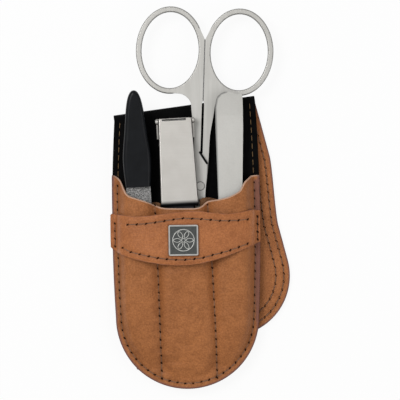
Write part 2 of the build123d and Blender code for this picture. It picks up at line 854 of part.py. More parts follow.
clipper_lever.part.label = "clipper_lever"

# ---------------------------------------------------------------- tweezers
mouth_drop = (tweezers_y - ear_top_y + mouth_lead) * tan(radians(tweezers_tilt))
tweezers_plane = tool_plane(tweezers_x, tweezers_y, front_z + mouth_drop, 0, tweezers_tilt)
tweezers_side = Plane(origin=tweezers_plane.origin, x_dir=tweezers_plane.y_dir, z_dir=tweezers_plane.x_dir)


def tweezers_plan():
    """Plan of an arm: round upper end, long taper, narrow slanted tip."""
    top = tweezers_half_top
    with BuildLine() as outline:
        Spline(
            (-top, -tweezers_round),
            (-0.65 * top, -0.95),
            (0, 0),
            (0.65 * top, -0.95),
            (top, -tweezers_round),
            tangents=((0, 1), (0, -1)),
        )
        Polyline(
            (top, -tweezers_round),
            (top, -tweezers_square),
            (tweezers_half_mouth, -tweezers_mouth),
            (tweezers_half_tip, -tweezers_length + tip_slant),
            (-tweezers_half_tip, -tweezers_length),
            (-tweezers_half_mouth, -tweezers_mouth),
            (-top, -tweezers_square),
            (-top, -tweezers_round),
        )
    make_face(outline.edges())


def arm(profile):
    """An arm: its side view extruded across and trimmed to its plan."""
    with BuildSketch(tweezers_side) as side_view:
        profile()
    extrude(side_view.sketch, amount=2 * tweezers_half_top, both=True)
    with BuildSketch(tweezers_plane.offset(-5)) as plan:
        tweezers_plan()
    extrude(plan.sketch, amount=20, mode=Mode.INTERSECT)


def back_arm_profile():
    """The back arm is straight along its back; its tip thins inwards."""
    with BuildLine() as outline:
        Polyline(
            (2, 0),
            (-tweezers_length - 2, 0),
            (-tweezers_length - 2, arm_thickness - tip_thinning),
            (-tweezers_length + tip_grind, arm_thickness),
            (2, arm_thickness),
            close=True,
        )
    make_face(outline.edges())


def front_arm_profile():
    """The front arm lies on the back arm over the weld and then springs away from it."""
    inner = arm_thickness + face_gap
    with BuildLine() as outline:
        Line((2, inner), (-weld_length, inner))
        Spline(
            (-weld_length, inner),
            (-tweezers_mouth, inner + 0.8 * tip_gap),
            (-tweezers_length - 2, inner + tip_gap),
            tangents=((-1, spring_slope), (-1, 0)),
        )
        tip_top = inner + tip_gap + arm_thickness - tip_thinning
        Line((-tweezers_length - 2, inner + tip_gap), (-tweezers_length - 2, tip_top))
        Spline(
            (-tweezers_length - 2, tip_top),
            (-tweezers_mouth, inner + 0.8 * tip_gap + arm_thickness),
            (-weld_length, inner + arm_thickness),
            tangents=((1, 0), (1, -spring_slope)),
        )
        Line((-weld_length, inner + arm_thickness), (2, inner + arm_thickness))
        Line((2, inner + arm_thickness), (2, inner))
    make_face(outline.edges())


with BuildPart() as tweezers_back_arm:
    arm(back_arm_profile)
tweezers_back_arm.part.label = "tweezers_back_arm"

with BuildPart() as tweezers_front_arm:
    arm(front_arm_profile)
tweezers_front_arm.part.label = "tweezers_front_arm"

# ---------------------------------------------------------------- nail file
file_mid_z = front_z + handle_thickness / 2 + layer_gap
file_plane = tool_plane(file_x, file_y, file_mid_z, file_lean, file_tilt)


def handle_face():
    """Plan of the handle: a belly near the blade, a slim waist and a round end."""
    with BuildLine() as outline:
        Line((-handle_end_half, 0), (handle_end_half, 0))
        Spline(
            (handle_end_half, 0),
            (handle_belly_half, handle_belly_y),
            (handle_waist_half, handle_waist_y),
            (0, handle_length),
            tangents=((0.08, 1), (-1, 0)),
            tangent_scalars=(1, 0.6),
        )
        Spline(
            (0, handle_length),
            (-handle_waist_half, handle_waist_y),
            (-handle_belly_half, handle_belly_y),
            (-handle_end_half, 0),
            tangents=((-1, 0), (0.08, -1)),
            tangent_scalars=(0.6, 1),
        )
    make_face(outline.edges())


def tang_face():
    """The blade's tang inside the handle."""
    with Locations((0, tang_length / 2)):
        Rectangle(2 * tang_half, tang_length)


with BuildPart() as file_handle:
    with BuildSketch(file_plane.offset(-handle_thickness / 2)):
        handle_face()
    extrude(amount=handle_thickness)
    fillet(edges().filter_by(GeomType.BSPLINE), handle_round)
    with BuildSketch(file_plane.offset(-blade_thickness / 2)):
        tang_face()
    extrude(amount=blade_thickness, mode=Mode.SUBTRACT)
file_handle.part.label = "file_handle"

with BuildPart() as file_blade:
    with BuildSketch(file_plane.offset(-blade_thickness / 2)):
        with BuildLine():
            Polyline(
                (-blade_tip_half, -file_blade_length + blade_tip_half),
                (-blade_half, -file_blade_taper),
                (-blade_half, 0),
                (blade_half, 0),
                (blade_half, -file_blade_taper),
                (blade_tip_half, -file_blade_length + blade_tip_half),
            )
            ThreePointArc(
                (blade_tip_half, -file_blade_length + blade_tip_half),
                (0, -file_blade_length),
                (-blade_tip_half, -file_blade_length + blade_tip_half),
            )
        make_face()
        tang_face()
    extrude(amount=blade_thickness)
file_blade.part.label = "file_blade"

# ---------------------------------------------------------------- write every piece
pieces = (
    back_leather,
    back_lining,
    fold_leather,
    fold_lining,
    flap_leather,
    flap_lining,
    pocket_panel,
    strap_leather,
    strap_lining,
    badge_frame,
    badge_field,
    badge_backing,
    scissors_half_left,
    scissors_half_right,
    scissors_screw,
    clipper_lower_leaf,
    clipper_upper_leaf,
    clipper_lever,
    clipper_stirrup,
    clipper_cross_pin,
    clipper_tail_rivet,
    tweezers_back_arm,
    tweezers_front_arm,
    file_handle,
    file_blade,
)
for piece in pieces:
    export_step(piece.part, f"parts/{piece.part.label}.step")
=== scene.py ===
"""A leather manicure case, open on a table, with its nail scissors, clipper, tweezers and file."""
import random
from math import cos, exp, pi, radians, sin, sqrt

import bpy
import numpy as np
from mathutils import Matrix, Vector, noise
from mathutils.bvhtree import BVHTree
from mathutils.kdtree import KDTree


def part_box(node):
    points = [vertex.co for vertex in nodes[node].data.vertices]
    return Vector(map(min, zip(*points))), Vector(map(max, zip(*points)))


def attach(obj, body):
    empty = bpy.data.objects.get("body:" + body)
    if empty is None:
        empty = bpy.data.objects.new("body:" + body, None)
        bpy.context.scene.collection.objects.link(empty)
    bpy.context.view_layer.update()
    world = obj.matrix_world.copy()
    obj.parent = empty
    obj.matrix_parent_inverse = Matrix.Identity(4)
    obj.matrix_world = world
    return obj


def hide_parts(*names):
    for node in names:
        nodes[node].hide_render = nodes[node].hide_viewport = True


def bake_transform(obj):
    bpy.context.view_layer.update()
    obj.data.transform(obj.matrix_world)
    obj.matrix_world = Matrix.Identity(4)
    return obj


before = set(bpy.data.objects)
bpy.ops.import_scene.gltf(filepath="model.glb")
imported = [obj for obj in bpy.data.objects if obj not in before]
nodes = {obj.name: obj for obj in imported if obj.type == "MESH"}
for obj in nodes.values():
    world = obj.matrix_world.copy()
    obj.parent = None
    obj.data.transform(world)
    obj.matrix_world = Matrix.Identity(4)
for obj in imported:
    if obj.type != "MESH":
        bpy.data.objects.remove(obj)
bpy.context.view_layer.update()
mm = 0.001

# ---------------------------------------------------------------- table and studio
# A plain pale table under a large soft box, with a wide dim sky that is darker towards the horizon,
# so that rounded metal edges show a thin dark line. The camera looks straight down.
view_x, view_y = 5.45 * mm, 15.3 * mm
view_width = 154.0 * mm
camera_height = 1.15
camera_roll = -0.01408
case_height = 10 * mm
film_width = 36

camera_data = bpy.data.cameras.new("camera")
camera = bpy.data.objects.new("camera", camera_data)
bpy.context.scene.collection.objects.link(camera)
camera.location = (view_x, view_y, camera_height)
camera.rotation_euler = (0, 0, camera_roll)
camera_data.sensor_width = film_width
camera_data.lens = film_width * (camera_height - case_height) / view_width
camera_data.clip_start = 0.01
bpy.context.scene.camera = camera
bpy.context.scene.view_settings.view_transform = "Standard"


class Finish:
    """A surface finish that is wired up step by step; constant values sit on the shader itself."""

    def __init__(self, name, roughness=0.5, metallic=0.0, shine=0.5):
        self.material = bpy.data.materials.new(name)
        self.material.use_nodes = True
        self.tree = self.material.node_tree
        self.shader = self.tree.nodes["Principled BSDF"]
        for socket, value in (("Roughness", roughness), ("Metallic", metallic), ("Specular IOR Level", shine)):
            self.shader.inputs[socket].default_value = value
        self.place = self.add("ShaderNodeTexCoord").outputs["Object"]

    def add(self, kind, **values):
        """A node with these settings, in small letters, and these input values, with capitals."""
        node = self.tree.nodes.new(kind)
        for key, value in values.items():
            if key.islower():
                setattr(node, key, value)
            else:
                self.feed(node.inputs[key.replace("_", " ")], value)
        return node

    def feed(self, socket, value):
        """Link a socket to another node's output, or give it a plain value."""
        if isinstance(value, bpy.types.NodeSocket):
            self.tree.links.new(value, socket)
        else:
            socket.default_value = (*value[:3], 1.0) if socket.type == "RGBA" else value

    def cloud(self, size, detail=3.0, stretch=(1, 1, 1), rough=0.55):
        """Soft noise with lumps about size metres across."""
        scaled = self.add("ShaderNodeMapping", Vector=self.place, Scale=stretch).outputs["Vector"]
        cloud = self.add("ShaderNodeTexNoise", Vector=scaled, Scale=1 / size, Detail=detail, Roughness=rough)
        return cloud.outputs["Fac"]

    def patches(self, size, low=0.3, **look):
        """The same noise with its contrast drawn out to 0..1."""
        return self.between(self.cloud(size, **look), low, 1 - low)

    def cells(self, size):
        """Distance pattern of cells about size metres across."""
        return self.add("ShaderNodeTexVoronoi", Vector=self.place, Scale=1 / size).outputs["Distance"]

    def between(self, value, low, high, start=0.0, end=1.0):
        """Value from low..high brought to start..end, and held there."""
        ranged = self.add("ShaderNodeMapRange", Value=value, From_Min=low, From_Max=high, To_Min=start, To_Max=end)
        return ranged.outputs["Result"]

    def sum(self, first, second, operation="ADD"):
        """Two numbers put together."""
        node = self.add("ShaderNodeMath", operation=operation)
        self.feed(node.inputs[0], first)
        self.feed(node.inputs[1], second)
        return node.outputs["Value"]

    def part(self, value, share):
        """A share of a number."""
        return self.sum(value, share, "MULTIPLY")

    def most(self, first, second):
        """The larger of two numbers."""
        return self.sum(first, second, "MAXIMUM")

    def tint(self, factor, under, over):
        """Colour under, with colour over laid on it by factor."""
        mix = self.add("ShaderNodeMix", data_type="RGBA")
        for socket, value in ((0, factor), (6, under), (7, over)):
            self.feed(mix.inputs[socket], value)
        return mix.outputs[2]

    def mark(self, name):
        """A number that the mesh carries at its points."""
        return self.add("ShaderNodeAttribute", attribute_name=name).outputs["Fac"]

    def arrow(self, operation, first, second, output="Vector"):
        """Two places or directions put together."""
        node = self.add("ShaderNodeVectorMath", operation=operation)
        self.feed(node.inputs[0], first)
        self.feed(node.inputs[1], second)
        return node.outputs[output]

    def stroke(self, start, end, half_width, soft):
        """1 on a straight line across the face and 0 off it; start and end are (x, y) in metres."""
        way = Vector((end[0] - start[0], end[1] - start[1], 0))
        offset = self.arrow("SUBTRACT", self.arrow("MULTIPLY", self.place, (1, 1, 0)), (*start, 0))
        run = self.between(self.arrow("DOT_PRODUCT", offset, way.normalized(), "Value"), 0, way.length, 0, way.length)
        nearest = self.add("ShaderNodeVectorMath", operation="SCALE", Scale=run)
        nearest.inputs[0].default_value = way.normalized()
        gap = self.arrow("DISTANCE", offset, nearest.outputs["Vector"], "Value")
        return self.between(gap, half_width, half_width + soft, 1, 0)

    def flank(self, steep, flat):
        """1 where the piece's own face stands steeply, 0 where it lies flat."""
        normal = self.add("ShaderNodeTexCoord").outputs["Normal"]
        upward = self.add("ShaderNodeSeparateXYZ", Vector=normal).outputs["Z"]
        return self.between(self.sum(upward, 0.0, "ABSOLUTE"), steep, flat, 1, 0)

    def shades(self, factor, under, over):
        """The shader's colour: under, with over laid on it by factor."""
        self.feed(self.shader.inputs["Base Color"], self.tint(factor, under, over))

    def gloss(self, value):
        """Roughness that varies over the surface."""
        self.feed(self.shader.inputs["Roughness"], value)

    def relief(self, height, depth, strength=1.0):
        """Fine surface relief of that depth in metres."""
        bump = self.add("ShaderNodeBump", Height=height, Distance=depth, Strength=strength)
        self.feed(self.shader.inputs["Normal"], bump.outputs["Normal"])


def show(name, points, faces, *finishes):
    """Put a smooth-shaded mesh in the scene as an object with its finishes."""
    mesh = bpy.data.meshes.new(name)
    mesh.from_pydata([tuple(p) for p in points], [], faces)
    mesh.update()
    mesh.shade_smooth()
    for finish in finishes:
        mesh.materials.append(finish.material)
    piece = bpy.data.objects.new(name, mesh)
    bpy.context.scene.collection.objects.link(piece)
    return piece


table_glow = 0.90  # the share of plain white that the camera and the reflections see
table_white = Finish("table_white", roughness=0.65)
table_white.shades(table_white.cloud(0.05), (0.93, 0.93, 0.93), (0.95, 0.95, 0.95))
glow = table_white.add("ShaderNodeEmission", Color=(1, 1, 1), Strength=1.0)
seen = table_white.add("ShaderNodeLightPath").outputs
seen_directly = table_white.most(seen["Is Camera Ray"], seen["Is Glossy Ray"])
seen_directly = table_white.most(seen_directly, seen["Is Transmission Ray"])
lifted = table_white.add("ShaderNodeMixShader", Fac=table_white.part(seen_directly, table_glow))
table_white.feed(lifted.inputs[1], table_white.shader.outputs["BSDF"])
table_white.feed(lifted.inputs[2], glow.outputs["Emission"])
table_white.feed(table_white.tree.nodes["Material Output"].inputs["Surface"], lifted.outputs["Shader"])
table_reach = 3.0
table_corners = [(x * table_reach, y * table_reach, 0) for x, y in ((-1, -1), (1, -1), (1, 1), (-1, 1))]
table = show("table", table_corners, [(0, 1, 2, 3)], table_white)
table.location.z = -0.02 * mm  # just clear of the case

sky = bpy.data.worlds.new("sky")
bpy.context.scene.world = sky
sky.use_nodes = True
sky_tree = sky.node_tree
sky_place = sky_tree.nodes.new("ShaderNodeTexCoord")
sky_split = sky_tree.nodes.new("ShaderNodeSeparateXYZ")
sky_ramp = sky_tree.nodes.new("ShaderNodeValToRGB")
sky_tree.links.new(sky_place.outputs["Generated"], sky_split.inputs[0])
sky_tree.links.new(sky_split.outputs["Z"], sky_ramp.inputs["Fac"])
sky_tree.links.new(sky_ramp.outputs["Color"], sky_tree.nodes["Background"].inputs["Color"])
horizon, overhead = sky_ramp.color_ramp.elements
horizon.color = (0.30, 0.30, 0.31, 1)
overhead.color = (0.86, 0.86, 0.85, 1)
overhead.position = 0.75
sky_tree.nodes["Background"].inputs["Strength"].default_value = 0.62

for lamp_name, place, size, power in (
    ("main_soft_box", (-0.45, 0.35, 0.95), 0.55, 5.2),
    ("fill_soft_box", (0.75, -0.25, 0.8), 0.7, 2.0),
):
    lamp_data = bpy.data.lights.new(lamp_name, "AREA")
    lamp_data.shape = "SQUARE"
    lamp_data.size = size
    lamp_data.energy = power
    lamp = bpy.data.objects.new(lamp_name, lamp_data)
    bpy.context.scene.collection.objects.link(lamp)
    lamp.location = place
    aim = Vector((view_x, view_y, 0)) - Vector(place)
    lamp.rotation_euler = aim.to_track_quat("-Z", "Y").to_euler()

# ---------------------------------------------------------------- outer leather
# One hide of smooth tan leather: the back panel, bent round at the slanted fold and carried on as the
# flap behind it, with its smooth side towards the table on the back and towards the viewer on the flap.
fold_slope = radians(7.2)
fold_along = Vector((cos(fold_slope), sin(fold_slope), 0))
fold_down = Vector((sin(fold_slope), -cos(fold_slope), 0))
fold_axis = Vector((0, 49.58, 2.4)) * mm
fold_turns = 12
leather = 1.2 * mm
back_level, flap_level = 3.6 * mm, 1.2 * mm
back_straight, flap_straight = 78.95 * mm, 65.4 * mm  # from the fold to where the ends round off
tan = (0.490, 0.184, 0.060)
deep_tan = (0.250, 0.086, 0.026)
edge_brown = (0.250, 0.101, 0.066)
outline_brown = (0.110, 0.040, 0.032)


def leather_finish(name, light, dark, gloss=0.52):
    """Smooth full-grain leather: cloudy colour, fine pores and creases; painted shade where it is marked crease, edge
    brown where it is marked edge.
    """
    finish = Finish(name, roughness=gloss, shine=0.22)
    mottle = finish.patches(0.0035, 0.34, detail=5, rough=0.65)
    shade = finish.sum(finish.part(finish.patches(0.014, 0.34, detail=4), 0.26), finish.part(mottle, 0.22))
    shade = finish.sum(shade, finish.part(finish.patches(0.00062, 0.34, detail=2), 0.52))
    hide_colour = finish.tint(shade, dark, light)
    # Painted shade: the crease mark darkens the hide in seam grooves, needle-hole dents, valleys and round the plate,
    # where shade falls.
    crease_shade = tuple(c * 0.42 for c in dark)
    hide_colour = finish.tint(finish.part(finish.mark("crease"), 0.75), hide_colour, crease_shade)
    painted = finish.between(finish.sum(finish.mark("edge"), finish.part(mottle, 0.25)), 0.45, 0.85)
    hide_colour = finish.tint(painted, hide_colour, edge_brown)
    finish.shades(finish.between(finish.mark("edge"), 0.84, 0.97), hide_colour, outline_brown)
    pores = finish.between(finish.cells(0.00055), 0.0, 0.55)
    skin = finish.sum(pores, finish.part(finish.cloud(0.0009, detail=6, rough=0.7), 1.3))
    skin = finish.sum(skin, finish.part(finish.cloud(0.0045, detail=3, stretch=(1, 2.2, 1)), 2.6))
    finish.relief(skin, 0.00011, 0.75)
    finish.gloss(finish.between(mottle, 0, 1, gloss + 0.07, gloss - 0.06))
    return finish


hide_finish = leather_finish("smooth_tan_leather", tan, deep_tan)
painted_edge = Finish("painted_cut_edge", roughness=0.8, shine=0.25)
fibres = painted_edge.patches(0.0004, detail=6, rough=0.75)
painted_edge.shades(fibres, (0.100, 0.042, 0.028), (0.200, 0.085, 0.058))
painted_edge.relief(fibres, 0.0001, 0.8)


def surface_of(piece):
    """Search tree over the faces of a piece."""
    mesh = piece.data
    return BVHTree.FromPolygons([v.co.copy() for v in mesh.vertices], [tuple(p.vertices) for p in mesh.polygons])


def row_ends(surface, distance, level):
    """Both ends of the line at that distance below the fold, where it meets the edge of a flat layer."""
    middle = fold_axis + fold_down * distance
    middle.z = level
    left = surface.ray_cast(middle - fold_along * 0.1, fold_along)[0]
    right = surface.ray_cast(middle + fold_along * 0.1, -fold_along)[0]
    return left, right


corner = 0.29  # where a quarter round of radius 1 crosses its diagonal, in from each face


def sheet(name, rows, thickness, finishes, inside=0.5, bottom_dent=None, rim=0.25 * mm, marks=None, lip=None):
    """A closed sheet with a rounded rim round a grid of points; inside is the part of its thickness above them.

    The finishes are for the face above, the face below and the cut edges. With a lip, the last row is pared
    thin: its lower corner stands out by the first length and lies below by the second.
    """
    count, width = len(rows), len(rows[0])
    grid = np.array(rows)
    normals = np.cross(np.gradient(grid, axis=1), np.gradient(grid, axis=0))
    normals /= np.linalg.norm(normals, axis=2, keepdims=True) + 1e-12
    for _ in range(4):
        padded = np.pad(normals, ((1, 1), (1, 1), (0, 0)), mode="edge")
        normals = normals + padded[:-2, 1:-1] + padded[2:, 1:-1] + padded[1:-1, :-2] + padded[1:-1, 2:]
        normals /= np.linalg.norm(normals, axis=2, keepdims=True)
    ways, above, below = [], [], []
    for i in range(count):
        for j in range(width):
            point, up = rows[i][j], Vector(normals[i, j])
            ways.append(up)
            above.append(point + up * thickness * inside)
            if lip and i == count - 1:
                out = up.cross(rows[i][min(j + 1, width - 1)] - rows[i][max(j - 1, 0)]).normalized()
                below.append(point + out * lip[0] - up * lip[1])
            else:
                below.append(point - up * (thickness * (1 - inside) - (bottom_dent(point) if bottom_dent else 0)))
    shift = count * width
    faces, kinds = [], []
    for i in range(count - 1):
        for j in range(width - 1):
            a, b = i * width + j, i * width + j + 1
            c, d = b + width, a + width
            faces += [(a, b, c, d), (shift + d, shift + c, shift + b, shift + a)]
            kinds += [0, 1]
    border = [(0, j) for j in range(width)] + [(i, width - 1) for i in range(1, count)]
    border += [(count - 1, j) for j in range(width - 2, -1, -1)] + [(i, 0) for i in range(count - 2, 0, -1)]
    points, rings = above + below, []
    for k, (i, j) in enumerate(border):
        here = i * width + j
        (i1, j1), (i2, j2) = border[k - 1], border[(k + 1) % len(border)]
        tangent = rows[i2][j2] - rows[i1][j1]
        inward = ways[here].cross(tangent).normalized()
        next_row, next_column = min(max(i, 1), count - 2), min(max(j, 1), width - 2)
        room = abs((rows[next_row][next_column] - rows[i][j]).dot(inward))
        top, bottom = above[here], below[here]
        reach = min(rim, 0.45 * room, 0.45 * (bottom - top).length)
        down = (bottom - top).normalized()
        first = len(points)
        points += [top + (inward + down) * corner * reach, top + down * reach]
        points += [bottom - down * reach, bottom + (inward - down) * corner * reach]
        points[here], points[shift + here] = top + inward * reach, bottom + inward * reach
        rings.append((here, first, first + 1, first + 2, first + 3, shift + here))
    for one, other in zip(rings, rings[1:] + rings[:1]):
        for k, kind in enumerate((0, 2, 2, 2, 1)):
            faces.append((other[k], one[k], one[k + 1], other[k + 1]))
            kinds.append(kind)
    piece = show(name, points, faces, *finishes)
    piece.data.polygons.foreach_set("material_index", kinds)
    for mark_name, rule in (marks or {}).items():
        attribute = piece.data.attributes.new(mark_name, "FLOAT", "POINT")
        attribute.data.foreach_set("value", [rule(v.co) for v in piece.data.vertices])
    return piece


def round_end(surface, centre, along, down, spread, count):
    """Curved rows that fill the round end of a panel, from its outline up to the centre line."""
    rows, relaxing = [], 400
    for i in range(count, -1, -1):
        v, row = i / count, []
        for s in spread:
            u = 2 * s - 1
            way = along * u * sqrt(1 - v * v / 2) + down * v * sqrt(1 - u * u / 2)
            edge = surface.ray_cast(centre, way.normalized())[0] if way.length > 0.001 else centre
            row.append(centre.lerp(edge, way.length))
        rows.append(row)
    grid = np.array(rows)
    for _ in range(relaxing):
        grid[1:-1, 1:-1] = (grid[:-2, 1:-1] + grid[2:, 1:-1] + grid[1:-1, :-2] + grid[1:-1, 2:]) / 4
    return [[Vector(p) for p in row] for row in grid[:-1]]


def panel_half(node, level, end_centre, spread):
    """Rows from the round end of a panel up to the fold."""
    surface, steps, cap = surface_of(nodes[node]), 110, 40
    left, right = row_ends(surface, end_centre, level)
    rows = round_end(surface, left.lerp(right, 0.5), fold_along, fold_down, spread, cap)
    for i in range(steps + 1):
        distance = max(end_centre * (1 - i / steps), 0.01 * mm)
        left, right = row_ends(surface, distance, level)
        rows.append([left.lerp(right, s) for s in spread])
    return rows


def folded_rows(back, flap, upper, lower):
    """Grid of middle points: up the back panel, round the fold and down the flap."""
    radius, columns = (upper - lower) / 2, 100
    spread = [j / columns for j in range(columns + 1)]
    rows = panel_half(back, upper, back_straight, spread)
    last = rows[-1]
    for i in range(1, fold_turns):
        turn = pi * i / fold_turns
        shift = Vector((0, 0, fold_axis.z + radius * cos(turn) - upper)) - fold_down * radius * sin(turn)
        rows.append([p + shift for p in last])
    return rows + panel_half(flap, lower, flap_straight, spread)[::-1]


def inset_path(points, inset):
    """An open line moved inwards (to its left) by inset, without the loops at tight places."""
    moved = []
    for i, point in enumerate(points):
        ahead = points[min(i + 1, len(points) - 1)] - points[max(i - 1, 0)]
        moved.append(point + Vector((-ahead.y, ahead.x, 0)).normalized() * inset)
    return [p for p in moved if min((p - q).length for q in points) > inset * 0.98]


def near(points, depth, width):
    """Depth of a soft dent round the nearest of some points."""
    tree = KDTree(len(points))
    for i, point in enumerate(points):
        tree.insert(point, i)
    tree.balance()
    return lambda place: depth * exp(-((tree.find(place)[2] / width) ** 2))


hide_rows = folded_rows("back_leather", "flap_leather", back_level, flap_level)
half_count = (len(hide_rows) - fold_turns + 1) // 2
back_rows, flap_rows = hide_rows[:half_count], hide_rows[: -half_count - 1 : -1]


def outline_of(rows):
    """Down one side of a panel, round its end and up the other side."""
    return [row[0] for row in reversed(rows)] + rows[0][1:-1] + [row[-1] for row in rows]


back_outline, flap_outline = outline_of(back_rows), outline_of(flap_rows)
body_seam = inset_path(back_outline, 2.2 * mm)
flap_seams = [inset_path(flap_outline, 2.3 * mm), inset_path(flap_outline, 5.4 * mm)]
back_dividers = [Vector((x * mm, y * mm, back_level)) for x in (-11, 10.4) for y in range(-50, 15)]
body_line = near([Vector((p.x, p.y, back_level)) for p in body_seam] + back_dividers, 0.16 * mm, 0.7 * mm)
flap_line = near([p for seam in flap_seams for p in seam], 0.12 * mm, 0.6 * mm)
flap_edge = near(flap_outline, 1.0, 0.75 * mm)
back_edge = near(back_outline, 1.0, 0.75 * mm)


def hide_level(place):
    """The sheet's own level below or above the fold axis, where edges and seams are measured."""
    return Vector((place.x, place.y, back_level if place.z > fold_axis.z else flap_level))


outer_leather = sheet(
    "outer_leather",
    hide_rows,
    leather,
    (hide_finish, hide_finish, painted_edge),
    bottom_dent=lambda p: body_line(p) + flap_line(p),
    marks={
        "edge": lambda p: max(flap_edge(hide_level(p)), back_edge(hide_level(p))),
        # Painted shade along the seams: the crease mark darkens the hide in the seam grooves.
        "crease": lambda p: 1.8 / mm * (body_line(hide_level(p)) + flap_line(hide_level(p))),
    },
)
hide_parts("back_leather", "fold_leather", "flap_leather")
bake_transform(outer_leather)

# ---------------------------------------------------------------- black lining
# Thin black leather glued to the whole inside of the hide; round the fold it lies on the outside.
# It shows behind the tools above the pockets and on the face of the flap that lies on the table.
lining = 0.6 * mm
black_skin = Finish("black_lining_leather", roughness=0.75, shine=0.05)
black_cloud = black_skin.patches(0.003, detail=5)
black_skin.shades(black_cloud, (0.0012, 0.0012, 0.0014), (0.0036, 0.0036, 0.0038))
skin_grain = black_skin.sum(black_skin.cells(0.0006), black_skin.cloud(0.002, detail=5))
black_skin.relief(skin_grain, 0.00008, 0.6)

lining_rows = folded_rows("back_lining", "flap_lining", 4.5 * mm, 0.3 * mm)
black_lining = sheet("black_lining", lining_rows, lining, (black_skin, black_skin, black_skin), rim=0.15 * mm)
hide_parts("back_lining", "fold_lining", "flap_lining")
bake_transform(black_lining)

# ---------------------------------------------------------------- pocket panel
# One unlined piece of the same hide, damp-formed over the tools into three pockets. It is sewn down
# round its edge and along two slightly bent rows, and its mouth is left as a raw cut edge.
panel_surface = surface_of(nodes["pocket_panel"])
land_z = 6.0 * mm
mouth_shape = (  # (x, y) along the mouth's edge from left to right
    (-28.8, 24.9), (-27.4, 24.7), (-26.2, 23.7), (-25.2, 22.4), (-24.4, 20.0), (-23.3, 17.6), (-21.6, 16.5),
    (-18.6, 15.6), (-16.0, 14.7), (-13.6, 13.9), (-11.6, 12.9), (-10.0, 12.2), (-7.4, 11.85), (-1.0, 11.7),
    (3.5, 11.7), (5.4, 12.0), (7.0, 12.9), (8.3, 14.3), (10.1, 14.7), (12.8, 15.0), (16.5, 15.8), (19.3, 17.1),
    (21.3, 18.3), (22.1, 19.8), (22.8, 21.6), (24.3, 22.8), (25.4, 24.0), (27.1, 24.2), (28.8, 24.2),
)
divider_shapes = (  # x of the CAD valley, and three (y, x) points of the sewn row
    (-11.6, ((14, -11.9), (-9.5, -11.1), (-54.9, -10.2))),
    (10.6, ((12.0, 8.4), (-10.1, 9.7), (-50.2, 11.1))),
)


def line_through(shape, y):
    """Smooth curve through three (y, x) points, in millimetres."""
    total = 0.0
    for i, (yi, xi) in enumerate(shape):
        part = xi
        for j, (yj, _) in enumerate(shape):
            if i != j:
                part *= (y - yj) / (yi - yj)
        total += part
    return total


def panel_level(x, y):
    """Height of the formed panel, in millimetres, with its valleys moved onto the sewn rows.

    Past the CAD panel's mouth it is the height of the nearest point below.
    """
    place, valley_width, step_down = x, 5.0, 0.35
    for cad_x, shape in divider_shapes:
        row = line_through(shape, y)
        place -= (row - cad_x) * exp(-(((x - row) / valley_width) ** 2))
    for step in range(40):
        above = Vector((place, y - step_down * step, 40)) * mm
        hit = panel_surface.ray_cast(above, Vector((0, 0, -1)))[0]
        if hit:
            return hit.z / mm
    return land_z / mm


def softened(line, step, spread):
    """A row of numbers at that step, evened out over about that spread."""
    weights = np.exp(-0.5 * (np.arange(-6, 7) * step / spread) ** 2)
    return np.convolve(np.pad(line, 6, mode="edge"), weights / weights.sum(), mode="valid")


cell = 0.4
raster_x = np.arange(-29.2, 29.3, cell)
raster_y = np.arange(-58.4, 26.5, cell)
levels = np.array([[panel_level(x, y) for x in raster_x] for y in raster_y])
for axis in (0, 1):
    levels = np.apply_along_axis(softened, axis, levels, cell, 0.75)


def formed(x, y):
    """Height of the softened panel in metres, between the raster's points."""
    column = min(max((x / mm - raster_x[0]) / cell, 0), len(raster_x) - 1.001)
    row = min(max((y / mm - raster_y[0]) / cell, 0), len(raster_y) - 1.001)
    i, j = int(row), int(column)
    s, t = row - i, column - j
    low = levels[i, j] * (1 - t) + levels[i, j + 1] * t
    high = levels[i + 1, j] * (1 - t) + levels[i + 1, j + 1] * t
    return float(low * (1 - s) + high * s) * mm


def along_shape(shape, x):
    """Height of a drawn line at x, from its (x, y) points."""
    return np.interp(x, [p[0] for p in shape], [p[1] for p in shape])


mouth_x = np.arange(-28.8, 28.81, 0.2)
mouth_y = softened(along_shape(mouth_shape, mouth_x), 0.2, 0.45)
outline_surface = surface_of(nodes["back_lining"])


def half_width(y, side):
    """Distance from the middle line to the pouch's edge."""
    hit = outline_surface.ray_cast(Vector((side * 0.1, y, 4.5 * mm)), Vector((-side, 0, 0)))[0]
    return abs(hit.x) if hit else 0.2 * mm


round_centre = -30.0
mouth_level = 14.0  # the panel's rows are straight below this and follow the mouth above it


def flat(place):
    """The place as seen from above."""
    return Vector((place.x, place.y, 0))


def ease(value, start, end):
    """0 before start, 1 after end, smooth between."""
    t = min(max((value - start) / (end - start), 0.0), 1.0)
    return t * t * (3 - 2 * t)


def evenly(points, count):
    """A line of points divided into count equal steps."""
    runs = [(b - a).length for a, b in zip(points, points[1:])]
    total, found, run, gone = sum(runs), [], 0, 0.0
    for k in range(count + 1):
        want = total * k / count
        while run < len(runs) - 1 and gone + runs[run] < want:
            gone += runs[run]
            run += 1
        found.append(points[run].lerp(points[run + 1], min(max((want - gone) / runs[run], 0.0), 1.0)))
    return found


def spaced(points, pitch):
    """Points along a line of points, as near to that pitch as comes out even."""
    total = sum((b - a).length for a, b in zip(points, points[1:]))
    return evenly(points, max(1, round(total / pitch)))


stitch_pitch = 3.1 * mm
body_holes = spaced(body_seam, stitch_pitch)
front_holes = [p for p in body_holes if p.y < 23.4 * mm]
divider_lines = [
    [Vector((line_through(shape, y / 2) * mm, y / 2 * mm, 0)) for y in range(-107, 28)]
    for _, shape in divider_shapes
]
both_rows = divider_lines[0] + divider_lines[1]
divider_holes = [spaced(line, stitch_pitch) for line in divider_lines]
edge_groove = near([flat(p) for p in body_seam], 0.30 * mm, 0.75 * mm)
row_groove = near(both_rows, 0.25 * mm, 0.8 * mm)
hole_dent = near([flat(p) for p in front_holes + divider_holes[0] + divider_holes[1]], 0.28 * mm, 0.5 * mm)
outline_near = near([flat(p) for p in back_outline], 1.0, 0.9 * mm)
valley_shade = near([p - Vector((0.8 * mm, 0, 0)) for p in both_rows], 0.16, 2.2 * mm)


